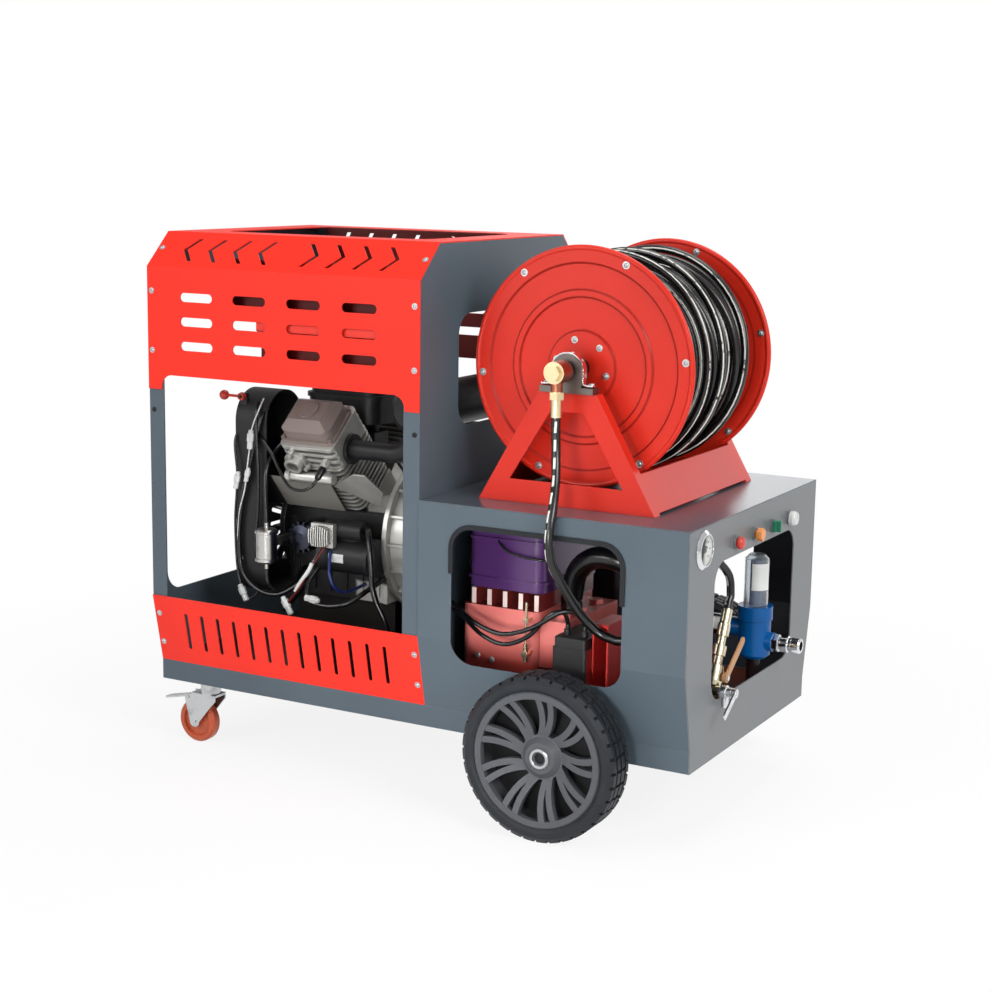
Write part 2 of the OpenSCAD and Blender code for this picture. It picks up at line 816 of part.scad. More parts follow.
// Exhaust: a pipe from each head into the cross muffler
pipe_r = 23;
pipe_y = 215;
pipe_z = crank_z + 229;
pipe_bend = 60;
muffler_x = engine_x + 250;
muffler_z = crank_z + 335;
muffler_r = 55;
muffler_len = 420;
module exhaust() {
    color([0.16, 0.16, 0.17]) {
        for (s = [-1, 1]) {
            x = bank_x(s) + pad_w / 2;
            bar_x([x, s * pipe_y, pipe_z], 9, pipe_r + 13);
            bar_x([x, s * pipe_y, pipe_z], muffler_x - pipe_bend - x, pipe_r);
            place([muffler_x - pipe_bend, s * pipe_y, pipe_z + pipe_bend]) rotate([90, 0, 0])
                rotate_extrude(angle = -90) translate([pipe_bend, 0]) circle(pipe_r);
            place([muffler_x, s * pipe_y, pipe_z + pipe_bend])
                cylinder(h = muffler_z - pipe_z - pipe_bend, r = pipe_r);
        }
        place([muffler_x, muffler_len / 2 + 36, muffler_z]) rotate([90, 0, 0]) rotate_extrude() polygon([
            [0, 0], [muffler_r - 16, 0], [muffler_r, 16], [muffler_r, muffler_len + 56],
            [muffler_r - 16, muffler_len + 72], [0, muffler_len + 72]
        ]);
        place([muffler_x, pipe_y - 70, muffler_z]) cylinder(h = muffler_r + 70, r = pipe_r - 5);
    }
}

// Starter motor with its solenoid, bolted to the bell housing
starter_y = -crankcase_w / 2 - starter_r - 14;
starter_z = crank_z - 30;
starter_len = 136;
nose_t = 8;
module starter_motor() {
    x = engine_x1 - nose_t;
    color(black) {
        bar_x([x - starter_len, starter_y, starter_z], starter_len, starter_r);
        bar_x([x - starter_len - 6, starter_y, starter_z], 12, starter_r - 8);
        bar_x([x - starter_len + 14, starter_y - 6, starter_z + starter_r + 21], starter_len - 34, 24);
        place([x - starter_len + 30, starter_y - 16, starter_z + starter_r - 6]) cube([70, 20, 12]);
        along_x(x, engine_x1) difference() {
            union() {
                translate([starter_y, starter_z]) circle(starter_r + 5);
                translate([starter_y, starter_z - 30]) square([starter_r + 4, 60]);
            }
            translate([-crankcase_w / 2 - 2 * rib_t, 0]) square([crankcase_w, big]);
        }
    }
}

// Oil filter with grip flutes, and fuel filter on its arm
oil_filter_x = engine_x0 + 88;
oil_filter_z = crank_z + 7;
oil_filter_r = 36;
flutes = 14;
fuel_filter_x = engine_x0 + 26;
fuel_filter_y = -292;
fuel_filter_z = crank_z - 67;
fuel_filter_h = 112;
module engine_filters() {
    color(steel) {
        place([oil_filter_x, -crankcase_w / 2, oil_filter_z]) rotate([90, 0, 0]) {
            rotate_extrude() polygon([
                [0, 0], [30, 0], [30, 6], [oil_filter_r, 8], [oil_filter_r, 66], [30, 92], [12, 96], [0, 96]
            ]);
            for (i = [0:flutes - 1]) rotate(i * 360 / flutes)
                translate([20, -2.5, 60]) cube([oil_filter_r - 18, 5, 30]);
        }
        place([fuel_filter_x, fuel_filter_y, fuel_filter_z]) rotate_extrude() polygon([
            [0, 0], [5, 0], [5, 12], [22, 15], [25, 19], [28, 20], [28, 26], [25, 27], [25, 86], [28, 87],
            [28, 93], [22, 97], [5, 100], [5, fuel_filter_h], [0, fuel_filter_h]
        ]);
        place([fuel_filter_x - 5, fuel_filter_y, fuel_filter_z + fuel_filter_h / 2])
            cube([10, -crankcase_w / 2 - fuel_filter_y, 14]);
    }
}

// Reducer and pump under it, on the cabinet floor
pump_y0 = -250;
pump_foot_z = 131;
pump_fin_t = 11;
pump_fin_pitch = 40;
pump_fins = 5;
reducer_len = pump_len - 65;
reducer_w = 290;
reducer_y0 = -230;
reducer_z = pump_top + pump_fin_h;
manifold_len = 65;

module gear_reducer() {
    color([0.31, 0.16, 0.45]) difference() {
        union() {
            place([reducer_x, reducer_y0, reducer_z])
                linear_extrude(reducer_h) rounded(reducer_len, reducer_w, 26);
            place([reducer_x + 14, reducer_y0 + 14, reducer_z + reducer_h])
                linear_extrude(12) rounded(reducer_len - 28, reducer_w - 28, 20);
            bar_x([reducer_x - 12, 0, crank_z], 40, crank_r + 26);
            for (z = [20, reducer_h - 26])
                place([reducer_x - 5, reducer_y0 - 5, reducer_z + z])
                    linear_extrude(6) rounded(reducer_len + 10, reducer_w + 10, 28);
        }
        bar_x([reducer_x - 2 * cut, 0, crank_z], shaft_x1 - reducer_x + 2 * cut + clear_gap,
            crank_r + run_fit);
    }
}

module pump_body() {
    x1 = reducer_x + pump_len;
    color([0.78, 0.27, 0.27]) {
        place([reducer_x, pump_y0, pump_foot_z])
            linear_extrude(pump_top - pump_foot_z) rounded(pump_len - manifold_len, pump_w, 18);
        place([x1 - manifold_len, pump_y0 + 12, pump_foot_z + 18])
            cube([manifold_len, pump_w - 24, pump_top - pump_foot_z - 36]);
        for (i = [0:pump_fins - 1])
            place([reducer_x + 22 + i * pump_fin_pitch, pump_y0 + 6, pump_top - 2])
                cube([pump_fin_t, pump_w - 12, pump_fin_h + 2]);
        for (y = [20, pump_w - 70])
            place([reducer_x + 10, pump_y0 + y, floor_z]) cube([pump_len - 30, 50, pump_foot_z - floor_z]);
        for (i = [0:2]) {
            y = pump_y0 + 60 + i * 85;
            place([x1, y, pump_foot_z + 50]) rotate([0, 90, 0]) cylinder(h = 10, r = 20, $fn = 6);
            place([x1 - manifold_len / 2, y, pump_top - 18]) cylinder(h = 9, r = 18, $fn = 6);
        }
    }
}

// Battery with its red clamp
battery_x = reducer_x + pump_len + 12;
battery_y = -330;
battery_len = 82;
battery_w = 165;
battery_top = 250;
clamp_len = 38;
module battery() {
    color(black) {
        place([battery_x, battery_y, floor_z]) linear_extrude(battery_top - floor_z - 22)
            rounded(battery_len, battery_w, 6);
        place([battery_x + 3, battery_y + 3, battery_top - 22]) linear_extrude(22)
            rounded(battery_len - 6, battery_w - 6, 6);
        for (x = [20, battery_len - 20])
            place([battery_x + x, battery_y + 35, battery_top]) cylinder(h = 12, r = 8);
    }
    color(red) place([battery_x + battery_len + clear_gap, battery_y + 30, floor_z]) difference() {
        cube([clamp_len, 100, battery_top - floor_z + 34]);
        translate([4, -cut, 4]) cube([clamp_len - 8, 100 + 2 * cut, battery_top - floor_z + 22]);
    }
}

// Fuel tank on the far side, with its filler through the cabinet top
tank_len = 230;
tank_w = 190;
tank_h = 280;
module fuel_tank() {
    tank_x = reducer_x - 10;
    color(black) {
        place([tank_x, half_lip - tank_w - 4, floor_z]) linear_extrude(tank_h) rounded(tank_len, tank_w, 30);
        place([tank_x + 20, half_lip - tank_w + 16, floor_z + tank_h]) linear_extrude(14)
            rounded(tank_len - 40, tank_w - 40, 20);
        place([filler_x, filler_y, floor_z + tank_h - 20])
            cylinder(h = cabinet_h - floor_z - tank_h + 30, r = filler_r);
        place([filler_x, filler_y, cabinet_h + 1]) cylinder(h = 26, r = filler_r + 12, $fn = 24);
    }
}

// Water filter: head and element, with a clear bowl above and the inlet coupling in front
filter_x = body_len - 35;
filter_y = 100;
filter_r = 37;
filter_z = 150;
filter_h = 122;
bowl_r = 28;
bowl_h = 120;
bowl_t = 3;
boss_r = 22;
inlet_z = 190;
module water_filter() {
    color([0.05, 0.37, 0.65]) {
        place([filter_x, filter_y, filter_z]) rotate_extrude() polygon([
            [0, 0], [filter_r - 8, 0], [filter_r, 8], [filter_r, filter_h - 34],
            [filter_r + 3, filter_h - 32], [filter_r + 3, filter_h], [0, filter_h]
        ]);
        place([filter_x, filter_y, filter_z + filter_h - 1]) cylinder(h = bowl_h - 14, r = bowl_r - 13);
        place([filter_x, filter_y, floor_z]) cylinder(h = filter_z - floor_z, r = 16);
        bar_x([filter_x, filter_y, inlet_z], body_len + 12 - filter_x, boss_r);
        bar_x([filter_x - filter_r - 28, filter_y, inlet_z + 25], filter_r + 28, boss_r);
    }
}

module filter_bowl() {
    color([0.85, 0.88, 0.90, 0.6]) place([filter_x, filter_y, filter_z + filter_h]) rotate_extrude() polygon([
        [bowl_r - bowl_t, 0], [bowl_r, 0], [bowl_r, bowl_h - 10], [bowl_r - 10, bowl_h], [0, bowl_h],
        [0, bowl_h - bowl_t], [bowl_r - 11, bowl_h - bowl_t], [bowl_r - bowl_t, bowl_h - 11]
    ]);
}

module inlet_coupling() {
    tip = inlet_reach - 12;
    color(steel) place([body_len + 12, filter_y, inlet_z]) rotate([0, 90, 0]) {
        cylinder(h = 14, r = boss_r - 1, $fn = 6);
        rotate_extrude() polygon([
            [0, 0], [15, 0], [15, 18], [19, 20], [19, 36], [16, 38], [16, 44], [18, 46],
            [18, tip - 3], [16, tip], [11, tip], [11, 30], [0, 30]
        ]);
    }
}

// Brass and chrome fittings: leaning valve riser, outlet block, drain cock and tap
riser_x = body_len - 20;
riser_y = -176;
riser_lean = 25;
riser_len = 150;
valve_z = 172;
stem_len = 34;
valve_stem_r = 6;
block_x = bay_len + 485;
block_y = -315;
block_z = 225;
block_w = 60;
block_len = 55;
block_h = 65;
tap_y = riser_y - 18;
tap_z = valve_z - 26;
tap_len = 30;
cock_x = reducer_x + 176;
cock_z = 183;
cock_y = pump_y0 - 20;
rod_r = 3;
// A point of the riser's axis, d above the valve
function on_riser(d) = [riser_x, riser_y + d * sin(riser_lean), valve_z + d * cos(riser_lean)];
module water_fittings() {
    color(brass) {
        place([riser_x, riser_y, floor_z]) cylinder(h = valve_z - floor_z, r = 10);
        place([riser_x, riser_y, valve_z - 40]) cylinder(h = 22, r = 15, $fn = 6);
        place(on_riser(0)) rotate([-riser_lean, 0, 0]) rotate_extrude() polygon([
            [0, -22], [17, -20], [19, -10], [19, 10], [17, 24], [11, 26], [11, 44], [15, 46], [15, 68],
            [10, 70], [10, 88], [14, 90], [14, 116], [12, 120], [12, riser_len], [0, riser_len]
        ]);
        bar_x([riser_x, riser_y, valve_z], stem_len, valve_stem_r);
        place([block_x, block_y - block_w / 2, block_z]) cube([block_len, block_w, block_h]);
        place([block_x + block_len / 2, block_y, floor_z]) cylinder(h = block_z - floor_z, r = 12);
        bar_y([cock_x, cock_y - 8, cock_z], pump_y0 - cock_y + 8, 8);
        place([cock_x, cock_y, cock_z - 18]) cylinder(h = 40, r = 6);
        place([cock_x, cock_y, cock_z]) cylinder(h = pump_top + 26 - cock_z, r = rod_r);
        place([cock_x - 6, cock_y - 5, pump_top - 20]) cube([12, pump_y0 - cock_y + 5, 9]);
        bar_x([riser_x - 8, tap_y, tap_z], body_len - riser_x + 8 + tap_len, 11);
        bar_x([body_len + 6, tap_y, tap_z], 12, 15);
        bar_x([body_len + tap_len, tap_y, tap_z], 12, 5);
        place([body_len + 14, tap_y, tap_z - 34]) cylinder(h = 34, r = 8);
    }
}

// Flat levers on their stems
module flat_lever(p, stem, angle, len, w) {
    place(p) rotate([90, 0, 90]) difference() {
        union() {
            cylinder(h = 9, r = stem + 5);
            rotate(angle) translate([0, -w / 2, 4]) linear_extrude(4) rounded(len, w, w / 2 - 0.01);
        }
        translate([0, 0, -cut]) cylinder(h = 4 * cut, r = stem + run_fit);
    }
}
lever_front = riser_x + stem_len;
module valve_lever() {
    color([0.45, 0.28, 0.16]) flat_lever([lever_front - 12, riser_y, valve_z], valve_stem_r, 35, 118, 18);
}
module tap_lever() {
    color(steel) flat_lever([body_len + tap_len + 2, tap_y, tap_z], 5, 212, 76, 14);
}

// Pressure gauge and its needle
bezel_t = 9;
dial_depth = 6;
needle_len = 26;
needle_pin_r = 2;
module pressure_gauge() {
    color(steel) place([body_len, gauge_y, gauge_z]) rotate([0, 90, 0]) {
        difference() {
            union() {
                translate([0, 0, -52]) cylinder(h = 60, r = gauge_body_r);
                rotate_extrude()
                    polygon([[0, 0], [gauge_r, 0], [gauge_r, 3], [gauge_r - 7, bezel_t], [0, bezel_t]]);
            }
            translate([0, 0, bezel_t - dial_depth]) cylinder(h = cut, r = gauge_r - 10);
        }
        translate([0, 0, bezel_t - dial_depth]) cylinder(h = 3.5, r = needle_pin_r);
    }
}
module gauge_needle() {
    color(black) place([body_len + bezel_t - dial_depth + 1.5, gauge_y, gauge_z]) rotate([90, 0, 90])
        linear_extrude(1.2) difference() {
            union() {
                circle(5);
                rotate(225) polygon([[-9, -2.5], [needle_len, -0.6], [needle_len, 0.6], [-9, 2.5]]);
            }
            circle(needle_pin_r + run_fit);
        }
}

// Knobs on the panel
push_travel = 4;
knob_face = body_len + collar_t;
module knob_stem(i, gap) {
    bar_x([body_len - 8, knob_y[i], knob_z], collar_t + 8 + gap + 1, stem_r);
}
module red_button() {
    gap = push_travel + clear_gap;
    color([0.84, 0.30, 0.24]) {
        knob_stem(0, gap);
        place([knob_face + gap, knob_y[0], knob_z]) rotate([0, 90, 0]) rotate_extrude()
            polygon([[0, 0], [14, 0], [14, 5], [11, 10], [0, 12]]);
    }
}
module yellow_button() {
    gap = push_travel + clear_gap;
    color([0.94, 0.66, 0.25]) {
        knob_stem(1, gap);
        place([knob_face + gap, knob_y[1], knob_z]) rotate([0, 90, 0]) cylinder(h = 13, r = 15, $fn = 6);
    }
}
module green_switch() {
    color([0.22, 0.55, 0.38]) {
        knob_stem(2, clear_gap);
        place([knob_face + clear_gap, knob_y[2], knob_z]) rotate([90, 0, 90]) {
            linear_extrude(8) rounded_mid(26, 26, 4);
            linear_extrude(18) rounded_mid(8, 26, 3);
        }
    }
}
module white_knob() {
    color([0.86, 0.87, 0.86]) {
        knob_stem(3, clear_gap);
        place([knob_face + clear_gap, knob_y[3], knob_z]) rotate([0, 90, 0]) difference() {
            rotate_extrude() polygon([[0, 0], [17, 0], [17, 9], [14, 15], [0, 15]]);
            translate([-20, -1.5, 12]) cube([20, 3, 10]);
        }
    }
}

// Hose reel: axis along Y
axis_x = bay_len + reel_x;
axis_z = cabinet_h + reel_lift;
near_face = reel_shift - flange_gap / 2;
far_face = reel_shift + flange_gap / 2;
shaft_half = stand_w / 2 + 20;
rim_roll = 6.5;
loop_rings = 24;
loop_pitch = hose_d + loop_gap;
loop_r = pack_r - hose_d / 2;
core_r = (pack_r - hose_d) * cos(180 / loop_rings) - clear_gap;
loop_y = near_face + (flange_gap - hose_loops * loop_pitch) / 2;
anchor_h = 24;

// A pressed flange with stepped rings and a rolled rim, standing on its inner face
module reel_flange() {
    difference() {
        rotate_extrude($fn = 96) {
            polygon([
                [0, 0], [flange_r - rim_roll, 0], [flange_r - rim_roll, 8], [228, 8], [224, 4], [170, 4],
                [167, 8],
                [154, 8], [151, 4], [82, 4], [79, 10], [0, 10]
            ]);
            translate([flange_r - rim_roll, 4]) circle(rim_roll, $fn = 24);
        }
        translate([0, 0, -cut]) cylinder(h = 4 * cut, r = reel_shaft_r + run_fit);
    }
}
module reel_flanges() {
    color([0.90, 0.20, 0.16]) {
        place([axis_x, near_face, axis_z]) rotate([90, 0, 0]) reel_flange();
        place([axis_x, far_face, axis_z]) rotate([-90, 0, 0]) reel_flange();
    }
}

// Core of inner hose layers on the shaft, the anchor of the outer layer and the nozzle at its free end
function loop_point(a) =
    [x0 + axis_x + loop_r * cos(a), loop_y + loop_pitch * a / 360, base_z + axis_z + loop_r * sin(a)];
function loop_heading(a) = unit([-sin(a), loop_pitch / (2 * PI * loop_r), cos(a)]);
nozzle_len = 56;
module reel_drum() {
    last = 360 * hose_loops;
    color([0.15, 0.15, 0.16]) {
        bar_y([axis_x, near_face, axis_z], flange_gap, core_r);
        bar_y([axis_x, -shaft_half, axis_z], 2 * shaft_half, reel_shaft_r);
        place([axis_x + core_r - cut, loop_y - hose_d / 2, axis_z - hose_d - anchor_h - clear_gap])
            cube([pack_r - core_r + cut, hose_d - clear_gap, anchor_h]);
        translate(loop_point(last) + (hose_d + clear_gap) * loop_heading(last))
            rotate_extrude() polygon([
                [0, 0], [hose_d / 2 - 1, 0], [hose_d / 2 - 1, 30], [6, 36],
                [7, nozzle_len - 6], [4, nozzle_len], [0, nozzle_len]
            ]);
    }
}

// Outer layer of the jetting hose: one tube, straight for a diameter at each end
loop_path = concat(
    [loop_point(0) - hose_d * loop_heading(0)],
    [for (i = [0:hose_loops * loop_rings]) loop_point(360 * i / loop_rings)],
    [loop_point(360 * hose_loops) + hose_d * loop_heading(360 * hose_loops)]
);
self_gap = min([
    for (i = [0:len(loop_path) - 1], j = [i + loop_rings / 2:1:min(len(loop_path) - 1, i + 2 * loop_rings)])
        norm(loop_path[i] - loop_path[j])
]) - hose_d;
echo(least_gap_between_hose_loops = self_gap);
module jet_hose() {
    color(black) tube(loop_path, hose_d / 2, 6, [1, 0, 0]);
}

// Reel stand: folded A-frames joined by two slanting ties
stand_h = cabinet_h + 250;
tie_h = 80;
stand_window = 51;
stand_leg = 76;
function stand_outline() = [
    [axis_x - stand_len / 2, cabinet_h], [axis_x + stand_len / 2, cabinet_h],
    [axis_x + stand_top_len / 2, stand_h], [axis_x - stand_top_len / 2, stand_h]
];
module stand_edge() {
    difference() {
        polygon(stand_outline());
        polygon(inset(stand_outline(), stand_t));
    }
}
module a_frame() {
    y = -stand_w / 2;
    color(red) {
        along_y(y, y + stand_t) difference() {
            polygon(stand_outline());
            polygon([
                [axis_x - stand_len / 2 + stand_leg, cabinet_h + stand_window],
                [axis_x + stand_len / 2 - stand_leg, cabinet_h + stand_window],
                [axis_x + stand_top_len / 2 - 30, stand_h - 42],
                [axis_x - stand_top_len / 2 + 30, stand_h - 42]
            ]);
        }
        along_y(y, y + stand_flange) stand_edge();
    }
}
module reel_stand_near() {
    a_frame();
    color(red) along_y(-stand_w / 2 + stand_flange, stand_w / 2 - stand_flange) intersection() {
        stand_edge();
        union() {
            for (x = [axis_x - stand_len / 2, axis_x + stand_len / 2 - 80])
                translate([x, cabinet_h + stand_t]) square([80, tie_h]);
        }
    }
}
module reel_stand_far() { side(1) a_frame(); }

// Bearing blocks on the stand
block_half = 15;
bearing_y = stand_w / 2 - 8;
bearing_r = 36;
module pillow_blocks() {
    color(steel) for (s = [-1, 1]) difference() {
        along_y(s * bearing_y - block_half, s * bearing_y + block_half) {
            translate([axis_x, axis_z]) circle(bearing_r);
            translate([axis_x - bearing_r, stand_h]) square([2 * bearing_r, axis_z - stand_h]);
            translate([axis_x - stand_top_len / 2 + 6, stand_h]) square([stand_top_len - 12, 14]);
        }
        bar_y([axis_x, s * bearing_y - cut - block_half, axis_z], 2 * (block_half + cut),
            reel_shaft_r + run_fit);
    }
}

// Water swivel on the near end of the shaft, with its elbow and hose ferrule
swivel_y = -330;
ferrule_low = 730;
module swivel() {
    color([0.50, 0.31, 0.25]) {
        bar_y([axis_x, swivel_y - 16, axis_z], -shaft_half - clear_gap - swivel_y + 16, 24);
        place([axis_x, swivel_y - 16, axis_z]) rotate([90, 0, 0]) cylinder(h = 9, r = 18, $fn = 6);
        place([axis_x, swivel_y, axis_z - 52]) cylinder(h = 52, r = 13);
        place([axis_x, swivel_y, axis_z - 58]) cylinder(h = 16, r = 17, $fn = 6);
        place([axis_x, swivel_y, ferrule_low]) cylinder(h = axis_z - 58 - ferrule_low, r = 12.5);
    }
}

// Routes of the hoses and cables, in bx, y and z above the base underside
delivery_d = 20;
suction_r = 25;
end_gap = 0.5;
// Three points in line, d apart, that leave a fitting at p along v
function straight(p, v, d) = [for (k = [0:2]) p + (end_gap + k * d) * v];
function backward(list) = [for (i = [len(list) - 1:-1:0]) list[i]];
// Points given from the partition, the panel or the body side
function from_bay(list) = [for (p = list) [bay_len + p.x, p.y, p.z]];
function from_panel(list) = [for (p = list) [body_len + p.x, p.y, p.z]];
function beside(list) = [for (p = list) [bay_len + p.x, -half_w + p.y, p.z]];

delivery_route = concat(
    straight([axis_x, swivel_y, ferrule_low], [0, 0, -1], 15),
    [[axis_x + 5, -336, 650]],
    beside([
        [325, 25, 598], [335, -4, 548], [338, -22, 508], [338, -26, 470], [340, -17, 430], [349, 4, 390],
        [364, 28, 345]
    ]),
    from_bay([[386, -332, 303], [418, -318, 270]]),
    backward(straight([block_x, block_y, block_z + 33], [-1, 0, 0], 15))
);
suction_route = concat(
    straight([reducer_x + pump_len - 32, pump_y0 + 102, pump_top - 9], [0, 0, 1], 16),
    from_bay([
        [284, -155, 358], [330, -166, 396], [390, -168, 398], [440, -148, 366], [460, -100, 318],
        [466, -30, 270], [470, 35, 235]
    ]),
    [[filter_x - filter_r - 93, filter_y - 18, inlet_z + 28]],
    backward(straight([filter_x - filter_r - 28, filter_y, inlet_z + 25], [-1, 0, 0], 16))
);
bypass_route = concat(
    straight(on_riser(riser_len), [0, sin(riser_lean), cos(riser_lean)], 18),
    from_panel([[-28, -98, 385], [-54, -146, 430], [-92, -214, 452]]),
    from_bay([[536, -270, 440], [518, -304, 390]]),
    backward(straight([block_x + block_len / 2, block_y, block_z + block_h], [0, 0, 1], 18))
);
cable_ends = [-272, -286];
cable_z = [264, 288];
terminals = [20, battery_len - 20];
cable_mid = [
    from_bay([
        [326, -306, 300], [298, -320, 292], [250, -324, 240], [190, -324, 214], [130, -318, 226],
        [70, -290, 250]
    ]),
    from_bay([
        [366, -308, 302], [332, -328, 306], [262, -336, 262], [190, -336, 240], [120, -330, 254],
        [60, -304, 276]
    ])
];
cable_routes = [
    for (i = [0, 1]) concat(
        straight([battery_x + terminals[i], battery_y + 35, battery_top + 12], [0, 0, 1], 6.5),
        cable_mid[i],
        backward(straight([bay_len, cable_ends[i], cable_z[i]], [1, 0, 0], 11))
    )
];
fuel_route = concat(
    straight([fuel_filter_x, fuel_filter_y, fuel_filter_z + fuel_filter_h], [0, 0, 1], 8),
    [for (p = [
        [-4, -290, 110], [-10, -276, 172], [-8, -232, 218], [2, -158, 240], [14, -88, 234], [26, -38, 222]
    ]) [fuel_filter_x + p.x, p.y, crank_z + p.z]],
    backward(straight([engine_x - bank_stagger / 2 - 42, -12, carb_z + 72], [-1, 0, 0], 7))
);
return_route = concat(
    straight([fuel_filter_x, fuel_filter_y, fuel_filter_z], [0, 0, -1], 8),
    [for (p = [[4, -288, -108], [18, -262, -128], [27, -218, -112], [27, -188, -88]])
        [fuel_filter_x + p.x, p.y, crank_z + p.z]],
    backward(straight([fuel_filter_x + 27, -crankcase_w / 2, crank_z - 83], [0, -1, 0], 8))
);

module routed(route, r, sides, steps) {
    place([0, 0, 0]) tube(smooth(route, steps), r, sides, [0, 1, 0.01]);
}
module delivery_hose() { color(black) routed(delivery_route, delivery_d / 2, 10, 2); }
module hoses() {
    color(black) {
        routed(suction_route, suction_r, 10, 2);
        routed(bypass_route, 9, 8, 2);
        routed(fuel_route, 5, 8, 2);
        routed(return_route, 5, 8, 2);
        for (route = cable_routes) routed(route, 5, 8, 2);
    }
}

// Wheels: treaded tyre on a dished rim with paired curved spokes
wheel_y = track_w / 2 - tyre_w / 2;
tread_depth = 6;
tread_blocks = 36;
spoke_pairs = 9;
spoke_w = 14;
spoke_lean = 6;
hub_r = 50;
boss_out_r = 34;
rim_face = 16;
dish = 34;

module wheel_frame() {
    place([axle_x, -wheel_y, axle_lift]) rotate([90, 0, 0]) children();
}
module tyre() {
    h = tyre_w / 2;
    color([0.12, 0.13, 0.14]) wheel_frame() difference() {
        rotate_extrude($fn = 96) polygon(concat(
            [[rim_r + 0.1, 6 - h], [rim_r + 8, 1 - h], [tyre_r - 12, -h], [tyre_r, 10 - h]],
            [for (g = [-20, 0, 20], p = [[0, -3], [-tread_depth, -3], [-tread_depth, 3], [0, 3]])
                [tyre_r + p.x, g + p.y]],
            [[tyre_r, h - 10], [tyre_r - 12, h], [rim_r + 8, h - 1], [rim_r + 0.1, h - 6]]
        ));
        for (i = [0:tread_blocks - 1], s = [0:2])
            rotate((i + s / 2) * 360 / tread_blocks)
                translate([tyre_r - tread_depth, -3.5, [h - 20, -h - cut, -20][s]])
                    cube([2 * cut, 7, s < 2 ? 20 + cut : 40]);
    }
}
module spoke() {
    reach = rim_r - rim_face;
    intersection() {
        translate([(hub_r + reach) / 2, reach]) difference() {
            circle(reach + spoke_w / 2);
            circle(reach - spoke_w / 2);
        }
        translate([hub_r - 6, -rim_r / 2]) square([reach - hub_r + 14, rim_r]);
    }
}
module rim() {
    h = tyre_w / 2;
    rim_in = rim_r - rim_face;
    color([0.43, 0.44, 0.45]) wheel_frame() difference() {
        union() {
            rotate_extrude($fn = 96) polygon([
                [rim_in + 8, 6 - h], [rim_r, 6 - h], [rim_r, h - 6], [rim_r - 3, h - 2], [rim_in, h - 4],
                [rim_in, h - 18], [rim_in + 8, h - 22]
            ]);
            intersection() {
                linear_extrude(2 * h, center = true)
                    for (i = [0:spoke_pairs - 1], k = [-1, 1])
                        rotate(i * 360 / spoke_pairs + k * spoke_lean) spoke();
                rotate_extrude($fn = 96) polygon([
                    [0, h - dish - 18], [hub_r, h - dish - 18], [rim_in + 4, h - 18],
                    [rim_in + 4, h - 4], [hub_r, h - dish], [0, h - dish]
                ]);
            }
            translate([0, 0, -30]) cylinder(h = h - dish + 30, r = hub_r);
            translate([0, 0, h - dish]) cylinder(h = 12, r1 = hub_r - 4, r2 = boss_out_r);
        }
        translate([0, 0, -h - cut]) cylinder(h = 2 * h + 2 * cut, r = axle_r + run_fit);
    }
}
module tyre_near() { tyre(); }
module tyre_far() { side(1) tyre(); }
module rim_near() { rim(); }
module rim_far() { side(1) rim(); }

// Casters: swivelling fork, wheel and brake pedal
caster_axle_z = caster_r - base_z;
crown_low = -46;
crown_t = 6;
fork_gap = caster_w / 2 + 3;
leg_t = 4;
caster_pin_r = 5;
pedal_pin_r = 4;
pedal_x = -54;
pedal_z = crown_low - 7;
pedal_tilt = 12;
pedal_w = 28;
pedal_len = (caster_x + pedal_reach + pedal_x) / cos(pedal_tilt);

module caster_frame() {
    place([caster_x, -caster_span / 2, 0]) children();
}
module leg_outline() {
    polygon([
        [pedal_x - 9, crown_low + 1], [28, crown_low + 1], [28, crown_low - 8],
        [14 - caster_trail, caster_axle_z], [-14 - caster_trail, caster_axle_z], [pedal_x - 9, crown_low - 14]
    ]);
    translate([-caster_trail, caster_axle_z]) circle(14);
}
module fork() {
    half = fork_gap + leg_t;
    color(steel) caster_frame() {
        difference() {
            union() {
                translate([0, 0, crown_low]) cylinder(h = -crown_low - caster_plate_t - clear_gap, r = 25);
                translate([-44, -half, crown_low]) cube([72, 2 * half, crown_t]);
                for (y = [-half, fork_gap])
                    translate([0, y + leg_t, 0]) rotate([90, 0, 0]) linear_extrude(leg_t) leg_outline();
            }
            translate([0, 0, -kingpin_len - clear_gap])
                cylinder(h = 2 * kingpin_len, r = kingpin_r + run_fit);
            translate([pedal_x, -half - cut, pedal_z]) rotate([-90, 0, 0])
                cylinder(h = 2 * half + 2 * cut, r = pedal_pin_r + run_fit);
        }
        translate([-caster_trail, -half - 3, caster_axle_z]) rotate([-90, 0, 0])
            cylinder(h = 2 * half + 6, r = caster_pin_r);
    }
}
module caster_wheel() {
    w = caster_w / 2;
    color([0.75, 0.36, 0.22]) caster_frame() translate([-caster_trail, 0, caster_axle_z]) rotate([90, 0, 0])
        rotate_extrude($fn = 72) polygon([
            [caster_pin_r + run_fit, -w], [14, -w], [14, 6 - w], [caster_r - 18, 8 - w],
            [caster_r - 15, 2 - w],
            [caster_r - 5, 2 - w], [caster_r, 7 - w], [caster_r, w - 7], [caster_r - 5, w - 2],
            [caster_r - 15, w - 2], [caster_r - 18, w - 8], [14, w - 6], [14, w], [caster_pin_r + run_fit, w]
        ]);
}
module pedal() {
    half = fork_gap + leg_t;
    color(steel) caster_frame() translate([pedal_x, 0, pedal_z]) {
        rotate([90, 0, 0]) cylinder(h = 2 * half + 4, r = pedal_pin_r, center = true);
        rotate([90, 0, 0]) cylinder(h = pedal_w, r = 6.5, center = true);
        rotate([0, -pedal_tilt, 0]) translate([-pedal_len, -pedal_w / 2, -1])
            linear_extrude(4) rounded(pedal_len, pedal_w, 9);
    }
}
module fork_near() { fork(); }
module fork_far() { side(1) fork(); }
module caster_wheel_near() { caster_wheel(); }
